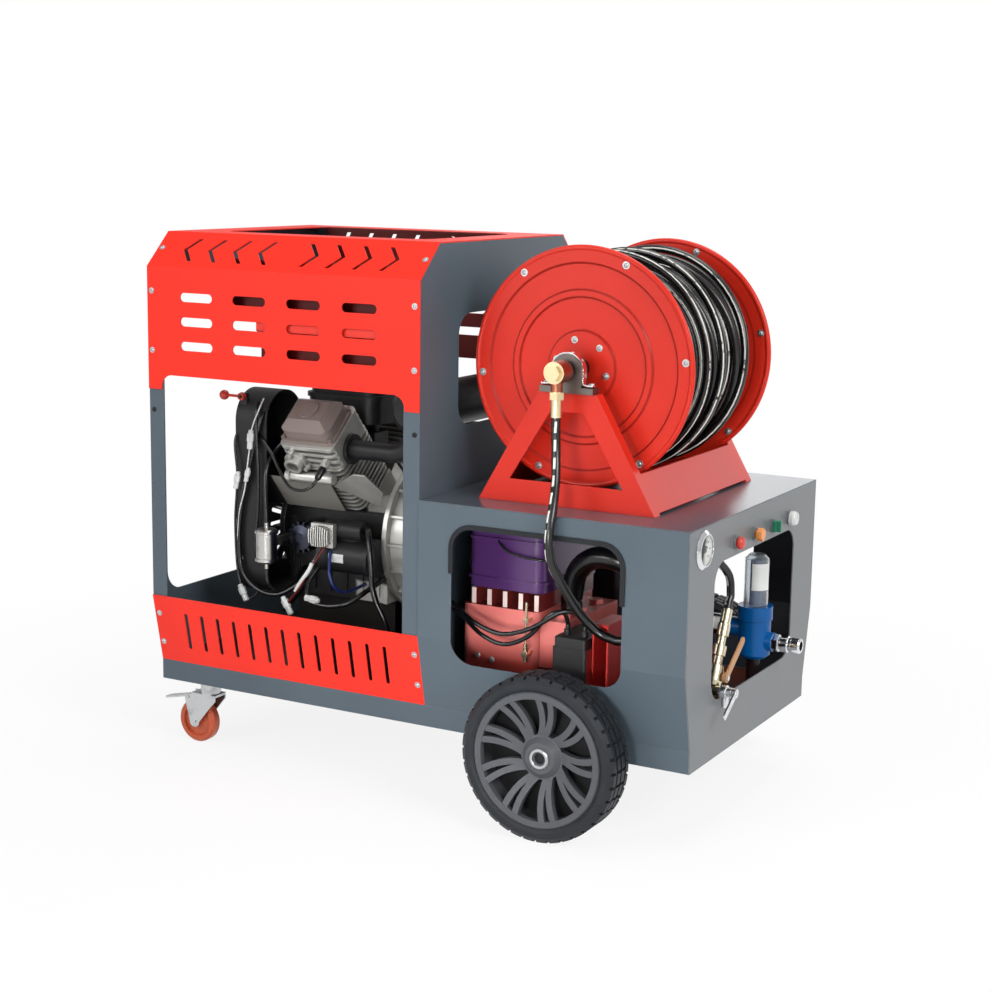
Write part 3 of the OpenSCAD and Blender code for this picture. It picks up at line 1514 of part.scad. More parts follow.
module caster_wheel_far() { side(1) caster_wheel(); }
module pedal_near() { pedal(); }
module pedal_far() { side(1) pedal(); }

base_frame();
axle();
skirt_near();
skirt_far();
front_frame();
partition_wall();
hood_side_near();
hood_side_far();
hood_top();
cabinet_side_near();
cabinet_side_far();
cabinet_top();
control_panel();
crankcase();
cylinder_near();
cylinder_far();
valve_covers();
blower_housing();
air_cleaner();
exhaust();
starter_motor();
engine_filters();
bell_housing();
flywheel_fan();
throttle_lever();
gear_reducer();
pump_body();
battery();
fuel_tank();
hoses();
water_filter();
filter_bowl();
inlet_coupling();
water_fittings();
valve_lever();
tap_lever();
pressure_gauge();
gauge_needle();
red_button();
yellow_button();
green_switch();
white_knob();
reel_stand_near();
reel_stand_far();
pillow_blocks();
swivel();
delivery_hose();
reel_flanges();
reel_drum();
jet_hose();
tyre_near();
rim_near();
tyre_far();
rim_far();
fork_near();
fork_far();
caster_wheel_near();
caster_wheel_far();
pedal_near();
pedal_far();
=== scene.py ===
# %% [markdown]
# # A drain jetter, finished around its imported frame
# The rigid pieces come from the CAD model, already in place and in metres. This lesson gives them
# their paint, metal and rubber, and adds what the CAD model leaves out: hoses, wires, screws, trim and
# the gauge's dial. Nothing added here may grow the object.

# %% Load the frame
import json
import math

import bmesh
import bpy
from mathutils import Matrix, Vector


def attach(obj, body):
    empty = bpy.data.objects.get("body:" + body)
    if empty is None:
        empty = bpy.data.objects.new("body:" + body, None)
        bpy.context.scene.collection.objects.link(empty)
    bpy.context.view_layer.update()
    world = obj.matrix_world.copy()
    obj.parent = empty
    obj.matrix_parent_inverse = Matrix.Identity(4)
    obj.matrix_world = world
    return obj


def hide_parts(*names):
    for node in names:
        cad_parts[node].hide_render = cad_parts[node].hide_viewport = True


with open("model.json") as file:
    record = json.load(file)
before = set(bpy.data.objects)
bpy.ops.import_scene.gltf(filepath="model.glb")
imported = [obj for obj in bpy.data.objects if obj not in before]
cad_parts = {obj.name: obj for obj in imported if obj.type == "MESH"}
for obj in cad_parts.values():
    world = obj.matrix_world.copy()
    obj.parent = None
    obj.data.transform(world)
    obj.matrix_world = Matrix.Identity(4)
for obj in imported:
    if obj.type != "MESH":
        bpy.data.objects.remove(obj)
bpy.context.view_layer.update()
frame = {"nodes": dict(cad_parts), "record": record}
nodes = frame["nodes"]
scene = bpy.context.scene
scene.view_settings.view_transform = "Standard"

# %% [markdown]
# ## Camera
# The photograph was taken from the operator's front corner, a little above the hood. A camera can be
# framed by eye, but here its angles and lens come from fitting straight body edges, so it is set from
# numbers.

# %% Place the camera
AZIMUTH, ELEVATION, ROLL = (math.radians(a) for a in (28.77, 10.35, 0.91))
CAMERA_AT = Vector((2.1128, -3.8190, 1.4414))
LENS, SENSOR = 67.38, 36.0
right = Vector((math.cos(AZIMUTH), math.sin(AZIMUTH), 0))
level = Vector((math.sin(AZIMUTH), -math.cos(AZIMUTH), 0))
back = math.cos(ELEVATION) * level + Vector((0, 0, math.sin(ELEVATION)))
up = back.cross(right)
right, up = (
    math.cos(ROLL) * right + math.sin(ROLL) * up,
    math.cos(ROLL) * up - math.sin(ROLL) * right,
)
camera = bpy.data.objects.new("camera", bpy.data.cameras.new("camera"))
camera.data.lens, camera.data.sensor_width = LENS, SENSOR
turned = Matrix((right, up, back)).transposed().to_4x4()
camera.matrix_world = Matrix.Translation(CAMERA_AT) @ turned
scene.collection.objects.link(camera)
scene.camera = camera
print("camera at", CAMERA_AT)

# %% [markdown]
# ## Places and meshes
# The CAD source counts millimetres along the body from the engine's end, across it from the middle,
# and up from the underside of the base. Places are written in the same way here, so that they can be
# compared with it, and one function turns them into metres of the shared frame. New shapes are filled
# into a bmesh, which takes corners and faces straight from code.

# %% Places and meshes
BODY_START, BASE_UNDERSIDE = -0.719, 0.168


def at(along, across, height):
    """A point in metres from millimetres along the body, across it and above the base's underside."""
    return Vector((BODY_START + along / 1000, across / 1000, BASE_UNDERSIDE + height / 1000))


def mesh_of(name, shape):
    """A mesh from a bmesh, with its faces turned outwards."""
    mesh = bpy.data.meshes.new(name)
    bmesh.ops.recalc_face_normals(shape, faces=shape.faces)
    shape.to_mesh(mesh)
    shape.free()
    return mesh


def link(name, mesh, smooth_angle=40):
    """A new object for a mesh, smooth apart from edges sharper than the angle."""
    piece = bpy.data.objects.new(name, mesh)
    scene.collection.objects.link(piece)
    mesh.shade_smooth()
    mesh.set_sharp_from_angle(angle=math.radians(smooth_angle))
    return piece


print("the body starts at", at(0, 0, 0))

# %% [markdown]
# ## Tubes
# Hoses and wires are round and bend smoothly. A curve with a bevel would do, but a mesh tube also gets
# a map of its skin: U runs round the tube and V along it in metres, which the printed marks need. The
# tube is a row of rings with walls between them, and later shapes use the same two helpers.

# %% Rings and walls
def ring_into(shape, centre, radius, side, other, sides):
    """A ring of corners about a centre, in the plane of two directions."""
    turns = [2 * math.pi * k / sides for k in range(sides)]
    return [shape.verts.new(centre + radius * (math.cos(a) * side + math.sin(a) * other))
            for a in turns]


def walls_into(shape, rings, closed=False):
    """Walls from ring to ring, and a cap on each end unless the last ring meets the first."""
    walls = []
    for low, high in zip(rings, rings[1:] + rings[:1] if closed else rings[1:]):
        for k in range(len(low)):
            n = (k + 1) % len(low)
            walls.append(shape.faces.new((low[k], low[n], high[n], high[k])))
    if not closed:
        shape.faces.new(list(reversed(rings[0])))
        shape.faces.new(rings[-1])
    return walls


print("rings and walls ready")

# %% Routes and tubes
def smooth(points, steps=8):
    """A Catmull-Rom route through the points."""
    route = []
    last = len(points) - 1
    for i in range(last):
        a, b, c, d = points[max(0, i - 1)], points[i], points[i + 1], points[min(last, i + 2)]
        for k in range(steps):
            t = k / steps
            route.append(0.5 * (2 * b + (c - a) * t + (2 * a - 5 * b + 4 * c - d) * t ** 2
                                + (3 * b - a - 3 * c + d) * t ** 3))
    return route + [points[-1]]


def heading(path, i):
    """Direction of a path at one of its points."""
    return (path[min(i + 1, len(path) - 1)] - path[max(i - 1, 0)]).normalized()


def tube_into(shape, path, radius, sides):
    """Add a closed tube to a bmesh, with U round it and V along it, and give its length."""
    uv = shape.loops.layers.uv.verify()
    side = (path[1] - path[0]).orthogonal()
    rings, lengths = [], [0.0]
    for i, point in enumerate(path):
        ahead = heading(path, i)
        side = (side - side.dot(ahead) * ahead).normalized()
        rings.append(ring_into(shape, point, radius, side, ahead.cross(side), sides))
        if i:
            lengths.append(lengths[-1] + (point - path[i - 1]).length)
    for count, wall in enumerate(walls_into(shape, rings)):
        i, k = divmod(count, sides)
        corners = ((k, i), (k + 1, i), (k + 1, i + 1), (k, i + 1))
        for loop, (around, along) in zip(wall.loops, corners):
            loop[uv].uv = (around / sides, lengths[along])
    return lengths[-1]


def tube(name, path, radius, sides):
    """A tube as an object, and its length."""
    shape = bmesh.new()
    length = tube_into(shape, path, radius, sides)
    return link(name, mesh_of(name, shape)), length


print("tubes ready")

# %% [markdown]
# ## Delivery hose
# The high-pressure hose leaves the swivel's ferrule, hangs down past the stand and goes through the
# side window to the outlet block. A simulation could find how it hangs, but the photograph shows it
# from end to end, so its route is given by points, and their length is its whole length.

# %% Delivery hose
DELIVERY_D = 0.020
delivery_points = [at(*p) for p in (
    (1060, -330, 729.5), (1060, -330, 714.5), (1060, -330, 699.5), (1065, -336, 650),
    (1075, -355, 598), (1085, -384, 548), (1088, -402, 508), (1088, -406, 470), (1090, -397, 430),
    (1099, -376, 390), (1114, -352, 345), (1136, -332, 303), (1168, -318, 270), (1204.5, -315, 258),
    (1219.5, -315, 258), (1234.5, -315, 258))]
delivery_path = smooth(delivery_points)
delivery_hose, delivery_length = tube("delivery_hose_piece", delivery_path, DELIVERY_D / 2, sides=20)
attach(delivery_hose, "chassis")
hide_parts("delivery_hose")
print("delivery hose", round(delivery_length, 3), "m")

# %% [markdown]
# ## Jetting hose
# The jetting hose lies on the reel in close turns. A screw modifier would wind them, but too evenly: a
# hand-wound layer never lies quite level. A helix in code can have a few slow waves in its radius. Near
# its end the hose climbs over the layer, wanders across it in a few loose turns and comes back down to
# its nozzle.

# %% Winding of the jetting hose
HOSE_D, LOOP_PITCH, LOOP_R = 0.018, 0.0189, 0.204
CLOSE_TURNS, LOOSE_TURNS = 20, 6
LAST_TURN = CLOSE_TURNS + LOOSE_TURNS + 1
LANES = CLOSE_TURNS + 2
REEL_ALONG, REEL_HEIGHT, NEAR_FLANGE, FAR_FLANGE = 1060, 826, -205, 235
REEL_AXIS = at(REEL_ALONG, 0, REEL_HEIGHT)
REEL_INSIDE = (FAR_FLANGE - NEAR_FLANGE) / 1000
FIRST_LOOP_Y = NEAR_FLANGE / 1000 + (REEL_INSIDE - LANES * LOOP_PITCH) / 2
WAVE_HEIGHT, BEATS = 0.005, ((1.7, 0), (2 * math.pi * 1.31, 1), (0.61, 2))
WANDER, FIRST_CLIMB, SECOND_CLIMB, SECOND_SPAN = 0.27, 0.021, 0.017, (0.42, 0.58)
CLIMBED, TURNING_DOWN, DOWN = CLOSE_TURNS + 0.35, LAST_TURN - 1.4, LAST_TURN - 1


def ease(value, low, high):
    """0 at low, 1 at high, smooth between."""
    t = min(1, max(0, (value - low) / (high - low)))
    return t * t * (3 - 2 * t)


def wave(turn):
    """Slow rise and fall of the hose above the layer, 0 to 1, none at either end."""
    ends = ease(turn, 0, 2) * ease(turn, LAST_TURN, LAST_TURN - 1)
    beat = sum(math.sin(rate * turn + start) for rate, start in BEATS)
    return ends * (beat + len(BEATS)) / (2 * len(BEATS))


def loop_point(turn):
    """Where the hose is after so many turns."""
    loose = min(1, max(0, (turn - CLOSE_TURNS) / LOOSE_TURNS))
    lane = turn - loose * (LOOSE_TURNS - 1)
    away = WANDER * math.sin(math.pi * loose) ** 2
    climb = FIRST_CLIMB * ease(turn, CLOSE_TURNS, CLIMBED) + SECOND_CLIMB * ease(loose, *SECOND_SPAN)
    radius = LOOP_R + WAVE_HEIGHT * wave(turn) + climb * ease(turn, DOWN, TURNING_DOWN)
    angle = 2 * math.pi * turn
    across = FIRST_LOOP_Y + LOOP_PITCH * lane - away
    return REEL_AXIS + Vector((radius * math.cos(angle), across, radius * math.sin(angle)))


print("hose winds for", LAST_TURN, "turns in", LANES, "lanes")

# %% Jetting hose
RINGS_A_TURN, STEP = 60, 0.001


def straight_end(turn, way):
    """A point one hose diameter beyond an end, straight on from it."""
    step = (loop_point(turn + STEP) - loop_point(turn - STEP)).normalized()
    return loop_point(turn) + way * HOSE_D * step


loop_path = [loop_point(i / RINGS_A_TURN) for i in range(LAST_TURN * RINGS_A_TURN + 1)]
loop_path = [straight_end(0, -1)] + loop_path + [straight_end(LAST_TURN, 1)]
jet_hose, jet_length = tube("jet_hose_piece", loop_path, HOSE_D / 2, sides=12)
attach(jet_hose, "reel")
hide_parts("jet_hose")
print("outer layers of jetting hose", round(jet_length, 2), "m")

# %% [markdown]
# ## Lines inside the cabinet and the engine bay
# The suction and bypass hoses, the fuel lines and the two battery cables are fixed lines, each between
# two fittings. They could be six objects, but they share one CAD node, so they share one object too.

# %% Fixed lines
LINES = (
    (0.025, ((1018, -148, 266.5), (1018, -148, 282.5), (1018, -148, 298.5), (1034, -155, 358),
             (1080, -166, 396), (1140, -168, 398), (1190, -148, 366), (1210, -100, 318),
             (1216, -30, 270), (1220, 35, 235), (1235, 82, 218), (1267.5, 100, 215),
             (1283.5, 100, 215), (1299.5, 100, 215))),
    (0.009, ((1380, -112.4, 308.4), (1380, -104.8, 324.7), (1380, -97.2, 341), (1372, -98, 385),
             (1346, -146, 430), (1308, -214, 452), (1286, -270, 440), (1268, -304, 390),
             (1262.5, -315, 326.5), (1262.5, -315, 308.5), (1262.5, -315, 290.5))),
    (0.005, ((276, -292, 410.5), (276, -292, 418.5), (276, -292, 426.5), (272, -290, 475),
             (266, -276, 537), (268, -232, 583), (278, -158, 605), (290, -88, 599),
             (302, -38, 587), (313.5, -12, 582), (320.5, -12, 582), (327.5, -12, 582))),
    (0.005, ((276, -292, 297.5), (276, -292, 289.5), (276, -292, 281.5), (280, -288, 257),
             (294, -262, 237), (303, -218, 253), (303, -188, 277), (303, -166.5, 282),
             (303, -158.5, 282), (303, -150.5, 282))),
    (0.005, ((1082, -295, 262.5), (1082, -295, 269), (1082, -295, 275.5), (1076, -306, 300),
             (1048, -320, 292), (1000, -324, 240), (940, -324, 214), (880, -318, 226),
             (820, -290, 250), (772.5, -272, 264), (761.5, -272, 264), (750.5, -272, 264))),
    (0.005, ((1124, -295, 262.5), (1124, -295, 269), (1124, -295, 275.5), (1116, -308, 302),
             (1082, -328, 306), (1012, -336, 262), (940, -336, 240), (870, -330, 254),
             (810, -304, 276), (772.5, -286, 288), (761.5, -286, 288), (750.5, -286, 288))),
)
shape = bmesh.new()
for radius, points in LINES:
    tube_into(shape, smooth([at(*p) for p in points]), radius, sides=18)
lines = link("fixed_lines", mesh_of("fixed_lines", shape))
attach(lines, "chassis")
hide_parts("hoses")
print("fixed lines", len(LINES))

# %% [markdown]
# ## A small language for finishes
# Finishes are node trees, but arithmetic reads better than boxes and links. A Wire is one value in a
# tree, and adding or multiplying wires adds the Math nodes. A Tree makes every other node by one
# method. A Finish is the tree of one material, built round its Principled shader.

# %% Wires
class Wire:
    """A value in a node tree, with arithmetic."""

    def __init__(self, tree, socket):
        self.tree, self.socket = tree, socket

    def math(self, operation, first, second):
        return self.tree.node("ShaderNodeMath", {"operation": operation}, {0: first, 1: second})

    def __add__(self, other):
        return self.math("ADD", self, other)

    def __radd__(self, other):
        return self.math("ADD", other, self)

    def __sub__(self, other):
        return self.math("SUBTRACT", self, other)

    def __rsub__(self, other):
        return self.math("SUBTRACT", other, self)

    def __mul__(self, other):
        return self.math("MULTIPLY", self, other)

    def __rmul__(self, other):
        return self.math("MULTIPLY", other, self)

    def __mod__(self, other):
        return self.math("FLOORED_MODULO", self, other)

    def larger(self, other):
        return self.math("MAXIMUM", self, other)

    def away(self, middle):
        """Distance from the middle value, on either side."""
        return self.tree.node("ShaderNodeMath", {"operation": "ABSOLUTE"}, {0: self - middle})

    def between(self, low, high):
        """0 below low, 1 above high, smooth between; low may be the larger."""
        return self.tree.node("ShaderNodeMapRange", {"interpolation_type": "SMOOTHSTEP"},
                              {"Value": self, "From Min": low, "From Max": high})


print("wires ready")

# %% Trees
class Tree:
    """A node tree, with one method that makes any node."""

    def __init__(self, own):
        self.own = own

    def node(self, kind, settings=None, inputs=None, output=0):
        made = self.own.nodes.new(kind)
        for name, value in (settings or {}).items():
            setattr(made, name, value)
        for key, value in (inputs or {}).items():
            if isinstance(value, Wire):
                self.own.links.new(value.socket, made.inputs[key])
            else:
                made.inputs[key].default_value = value
        return Wire(self, made.outputs[output])


print("trees ready")

# %% [markdown]
# ## What finishes are made from
# Paint, metal and rubber differ in colour, but they share what happens to a surface: its tone drifts,
# its edges catch light, and its corners gather dirt and painted shade. Image textures could show that,
# but they need a map on every piece. Noise and nodes that look at the shape itself work on any piece
# as it is.

# %% Finishes
class Finish(Tree):
    """A material built round one Principled shader."""

    def __init__(self, name, **fixed):
        self.material = bpy.data.materials.new(name)
        self.material.use_nodes = True
        super().__init__(self.material.node_tree)
        self.shader = self.own.nodes["Principled BSDF"]
        for socket, value in fixed.items():
            self.shader.inputs[socket.replace("_", " ")].default_value = value

    def feed(self, **wires):
        """Link wires to the shader's sockets, and give the finished material."""
        for socket, value in wires.items():
            self.own.links.new(value.socket, self.shader.inputs[socket.replace("_", " ")])
        return self.material

    def spot(self):
        return self.node("ShaderNodeTexCoord", output="Object")

    def part(self, vector, axis):
        return self.node("ShaderNodeSeparateXYZ", inputs={0: vector}, output=axis)

    def place(self, axis):
        """Distance along one axis of the shared frame, in metres."""
        return self.part(self.spot(), axis)

    def inward(self):
        """1 on faces that look towards the middle plane of the machine."""
        facing = self.part(self.node("ShaderNodeTexCoord", output="Normal"), "Y")
        return (facing * self.place("Y")).between(-0.05, -0.15)

    def noise(self, scale, detail):
        where = {"Vector": self.spot(), "Scale": scale, "Detail": detail}
        return self.node("ShaderNodeTexNoise", inputs=where)

    def cells(self, scale):
        return self.node("ShaderNodeTexVoronoi", inputs={"Vector": self.spot(), "Scale": scale})

    def mix(self, share, first, second):
        """A colour between two, by a share from 0 to 1."""
        colours = {0: share, 6: first, 7: second}
        return self.node("ShaderNodeMix", {"data_type": "RGBA"}, colours, output=2)

    def rounded(self, radius):
        """Normal of the surface with its sharp edges eased by that radius."""
        return self.node("ShaderNodeBevel", {"samples": 4}, {"Radius": radius})

    def edge(self, eased):
        """0 on flats, rising where the eased normal leaves the true one."""
        true = self.node("ShaderNodeNewGeometry", output="Normal")
        return 1 - self.node("ShaderNodeVectorMath", {"operation": "DOT_PRODUCT"},
                             {0: eased, 1: true}, output="Value")

    def hollows(self, reach):
        """1 in deep corners, 0 on open faces."""
        return 1 - self.node("ShaderNodeAmbientOcclusion", {"samples": 6}, {"Distance": reach},
                             output="AO")

    def bump(self, height, depth, normal=None):
        links = {"Height": height, "Distance": depth, "Strength": 1.0}
        if normal:
            links["Normal"] = normal
        return self.node("ShaderNodeBump", inputs=links)


print("finish language ready")

# %% [markdown]
# ## Colours and masks
# Shaders take linear colours, but the numbers of a screen's colour are easier to read, so one function
# turns them into linear ones. Some pieces have a second colour on part of them. Two objects would do,
# but a CAD piece stays whole, so a patch lays one colour over another where its mask is 1. Most masks
# are a limit along one axis.

# %% Colours and masks
def paint(red, green, blue):
    """A screen colour, 0 to 255, as the linear colour that a shader takes."""
    shares = [c / 255 for c in (red, green, blue)]
    return (*(s / 12.92 if s <= 0.04 else ((s + 0.055) / 1.055) ** 2.4 for s in shares), 1.0)


def shade(colour, factor):
    """A colour made darker or lighter, no brighter than white."""
    return (*(min(1.0, c * factor) for c in colour[:3]), 1.0)


def patched(f, tone, patches):
    """The tone with each patch's colour laid over it where that patch's mask is 1."""
    for mask, colour in patches:
        tone = f.mix(mask(f), tone, colour)
    return tone


def past(axis, low, high):
    """A mask along one axis: 0 up to low, 1 from high on; low may be the larger."""
    return lambda f: f.place(axis).between(low, high)


def off_middle(low, high):
    """The same, by the distance from the middle plane."""
    return lambda f: f.place("Y").away(0.0).between(low, high)


def both(first, second):
    """1 where two masks are both 1."""
    return lambda f: first(f) * second(f)


def either(first, second):
    """1 where one mask or the other is 1."""
    return lambda f: first(f).larger(second(f))


print("white is", paint(255, 255, 255))

# %% [markdown]
# ## Paint
# The sheet metal is powder coated. The coat has a fine orange peel, drifts a little in tone over a
# panel, is darkened in its corners, partly as dust and partly as painted shade, and rubs thin along its
# folds. One recipe with a few settings serves for every painted piece. The eased normal gives each cut
# edge a highlight, which bevels would give too, but they would change the CAD pieces.

# %% Powder coat
def powder_coat(name, colour, roughness=0.42, thin=paint(150, 150, 150), shade_and_grime=0.35, gloss=0.3,
                patches=()):
    f = Finish(name, Specular_IOR_Level=gloss)
    eased = f.rounded(0.0016)
    drift, speck = f.noise(2.6, 3), f.noise(70, 4)
    tone = f.mix(drift.between(0.3, 0.7), shade(colour, 0.93), shade(colour, 1.06))
    tone = patched(f, tone, patches)
    # Hollows found by ambient occlusion are darkened: dust, and painted shade.
    shade_and_dirt = f.hollows(0.05).between(0.35, 0.95) * shade_and_grime * speck.between(0.2, 0.8)
    tone = f.mix(shade_and_dirt, tone, shade(colour, 0.3))
    rub = f.edge(eased).between(0.04, 0.2) * speck.between(0.5, 0.64)
    tone = f.mix(rub * 0.5, tone, thin)
    peel = f.noise(850, 1)
    return f.feed(Base_Color=tone, Roughness=roughness + 0.16 * (drift - 0.5) + 0.2 * shade_and_dirt,
                  Normal=f.bump(peel, 0.00012, eased))


print("powder coat ready")

# %% Paint of the body
BODY_TONE, INSIDE_SHADE_GREY, RUBBED_RED = paint(80, 92, 101), paint(46, 51, 60), paint(255, 120, 100)
# Painted shade and reflection: the base's floor inside the bays is near black as painted shade, and
# reddish brown under the pump as a painted reflection of the red pump.
floor_shade = both(off_middle(0.337, 0.331), past("Z", 0.200, 0.206))
floor_pump_glow = both(floor_shade, past("X", 0.035, 0.045))
# Painted shade: faces that look inwards are darker, in grey here.
body_grey = powder_coat("body_grey_coat", BODY_TONE, patches=[(Finish.inward, INSIDE_SHADE_GREY)])
base_grey = powder_coat("base_grey_coat", BODY_TONE, patches=[
    (floor_shade, paint(30, 24, 23)), (floor_pump_glow, paint(96, 46, 30))])
top_grey = powder_coat("cabinet_top_coat", paint(78, 87, 95), roughness=0.2, gloss=0.5)
# Lighter than the body's grey: partly its own paint, and partly painted light for the key lamp and
# glare on the panel end.
panel_grey = powder_coat("panel_grey_lit_coat", paint(108, 111, 114), roughness=0.34, gloss=0.45)
# Painted shade: the inward faces of the hood are dark red, and those of the skirts near black.
hood_red = powder_coat("hood_red_coat", paint(244, 42, 22), thin=RUBBED_RED, shade_and_grime=0.2,
                       patches=[(Finish.inward, paint(116, 22, 13))])
skirt_red = powder_coat("skirt_red_coat", paint(240, 44, 27), thin=RUBBED_RED, shade_and_grime=0.2,
                        patches=[(Finish.inward, paint(28, 22, 22))])
rim_grey = powder_coat("rim_grey_coat", paint(77, 79, 83), shade_and_grime=0.6)
black_metal = powder_coat("black_heat_paint", paint(28, 28, 30), shade_and_grime=0.5)
print("body paints made, grey", BODY_TONE)

# %% Paint of the reel
RUBBED_REEL, REEL_SHINE = paint(240, 120, 100), 0.33
FLANGE_STEPS, STEP_EDGE, STEP_SHARE = (0.0805, 0.1525, 0.1685, 0.226), (0.0042, 0.0015), 0.6


def flange_rings(f):
    """A painted shade line along each pressed step of the reel's flanges."""
    arm = f.node("ShaderNodeVectorMath", {"operation": "SUBTRACT"}, {0: f.spot(), 1: REEL_AXIS})
    flat = f.node("ShaderNodeVectorMath", {"operation": "MULTIPLY"}, {0: arm, 1: (1, 0, 1)})
    radius = f.node("ShaderNodeVectorMath", {"operation": "LENGTH"}, {0: flat}, output="Value")
    lines_so_far = 0.0
    for step in FLANGE_STEPS:
        lines_so_far = radius.away(step).between(*STEP_EDGE).larger(lines_so_far)
    return STEP_SHARE * lines_so_far


reel_red = powder_coat("reel_red_coat", paint(208, 43, 28), roughness=REEL_SHINE, thin=RUBBED_REEL,
                       shade_and_grime=0.55)
flange_red = powder_coat("flange_red_coat", paint(210, 41, 23), roughness=REEL_SHINE,
                         thin=RUBBED_REEL, shade_and_grime=0.7, patches=[(flange_rings, paint(128, 18, 10))])
print("reel paints made, with", len(FLANGE_STEPS), "lines on a flange")

# %% Paint of the engine and pump
# Painted light on the pump: a painted highlight on the near fronts of its fins, painted shade between
# the fins and towards its foot, and a base colour lightened partly to stand in for the light that falls
# on it through the side window.
fin_front_highlight = both(past("Y", -0.2425, -0.2435), past("Z", 0.443, 0.445))
fin_gap_shade = both(past("Y", -0.2495, -0.2485), past("Z", 0.4420, 0.4425))
pump_foot_shade = past("Z", 0.380, 0.312)
cover_brown = powder_coat("valve_cover_paint", paint(124, 110, 105), roughness=0.3, shade_and_grime=0.8,
                          gloss=0.5)
purple_paint = powder_coat("reducer_purple", paint(88, 50, 110), roughness=0.22,
                           thin=paint(150, 120, 180), gloss=0.6)
pump_red = powder_coat("pump_paint_and_light", paint(247, 134, 127), roughness=0.2,
                       thin=paint(245, 200, 190), gloss=0.6, patches=[
                           (fin_gap_shade, paint(142, 50, 48)), (fin_front_highlight, paint(250, 226, 218)),
                           (pump_foot_shade, paint(138, 52, 46))])
print("engine and pump paints made")

# %% [markdown]
# ## Bare metal
# Castings are rough and grey, with grime where air has carried oil into the fins, and their hollows
# are darkened further as painted shade. Plated and turned pieces are smoother, handling has stained
# them a little and changed their roughness, and their hollows are darkened as painted shade. A metal
# with one even roughness looks like plastic, so both recipes vary it.

# %% Castings and plating
def casting(name, colour, roughness=0.38, shade_and_grime=0.85, patches=()):
    f = Finish(name)
    eased = f.rounded(0.003)
    grain, drift = f.noise(420, 3), f.noise(9, 4)
    # Hollows found by ambient occlusion are darkened and lose their shine: oily grime, and painted
    # shade.
    shade_and_dirt = f.hollows(0.06).between(0.25, 0.9) * shade_and_grime * drift.between(0.15, 0.6)
    tone = f.mix(drift.between(0.3, 0.7), shade(colour, 0.85), shade(colour, 1.12))
    bright = f.edge(eased).between(0.04, 0.2) * grain.between(0.4, 0.6)
    tone = patched(f, f.mix(bright * 0.6, tone, paint(215, 214, 210)), patches)
    shine = 0.75 - 0.6 * shade_and_dirt
    for mask, _ in patches:
        shine = shine * (1 - mask(f))
    return f.feed(Base_Color=f.mix(shade_and_dirt, tone, paint(20, 19, 18)), Metallic=shine,
                  Roughness=roughness + 0.25 * shade_and_dirt - 0.15 * bright,
                  Normal=f.bump(grain, 0.0004, eased))


def plated(name, colour, roughness=0.2, stain=paint(120, 112, 100), patches=()):
    f = Finish(name, Metallic=1.0)
    eased = f.rounded(0.0008)
    drift, speck = f.noise(38, 4), f.noise(260, 2)
    marks = drift.between(0.52, 0.72) * 0.35
    tone = patched(f, f.mix(marks, colour, stain), patches)
    # Painted shade: hollows found by ambient occlusion are darkened towards a dark copy of the stain.
    shade_and_dirt = f.hollows(0.015).between(0.4, 1.0) * 0.5
    return f.feed(Base_Color=f.mix(shade_and_dirt, tone, shade(stain, 0.3)),
                  Roughness=roughness + 0.25 * marks + 0.06 * speck,
                  Normal=f.bump(speck, 0.00005, eased))


print("castings and plating ready")

# %% Metals
ALLOY = paint(204, 203, 198)
above_foot = either(past("Z", 0.425, 0.435), past("X", -0.275, -0.285))
painted_wall = both(off_middle(0.136, 0.144), above_foot)
oil_canister = past("X", -0.424, -0.420)
before_panel = past("X", 0.680, 0.684)
swivel_nuts = either(past("Z", 0.954, 0.952), past("Y", -0.3445, -0.3455))
cast_alloy = casting("cast_alloy", ALLOY)
crank_alloy = casting("crankcase_alloy", ALLOY, patches=[(painted_wall, paint(24, 24, 26))])
zinc_steel = plated("zinc_plate", paint(196, 198, 200), roughness=0.28)
filter_steel = plated("filter_plate", paint(190, 188, 184), roughness=0.3,
                      patches=[(oil_canister, paint(66, 68, 80))])
chrome = plated("chrome_plate", paint(226, 228, 230), roughness=0.08)
block_steel = plated("bearing_block", paint(112, 104, 100), roughness=0.4)
brass = plated("turned_brass", paint(230, 219, 190), stain=paint(150, 116, 64),
               patches=[(before_panel, paint(222, 224, 226))])
swivel_brown = plated("browned_brass", paint(168, 104, 80), roughness=0.3, stain=paint(104, 66, 50),
                      patches=[(swivel_nuts, paint(226, 208, 166))])
print("metals made")

# %% [markdown]
# ## Plastic and rubber
# Moulded covers have a fine leather-like grain, which cells give better than noise does, and their
# hollows are darkened as painted shade. Rubber is duller, with a bloom that greys it unevenly, and dust
# stays in the grooves of the tyres. Knobs and dipped handles are nearly smooth, so their grain is much
# shallower.

# %% Mouldings and rubber
def moulding(name, colour, roughness=0.5, grain_depth=0.0002, gloss=0.5, patches=()):
    f = Finish(name, Specular_IOR_Level=gloss)
    eased = f.rounded(0.0015)
    grain, drift = f.cells(900), f.noise(12, 4)
    tone = f.mix(drift.between(0.3, 0.75), shade(colour, 0.88), shade(colour, 1.15))
    tone = patched(f, tone, patches)
    # Painted shade: hollows found by ambient occlusion are darkened.
    dust_and_shade = f.hollows(0.03).between(0.3, 1.0) * 0.3
    return f.feed(Base_Color=f.mix(dust_and_shade, tone, shade(colour, 0.4)),
                  Roughness=roughness + 0.2 * (drift - 0.5), Normal=f.bump(grain, grain_depth, eased))


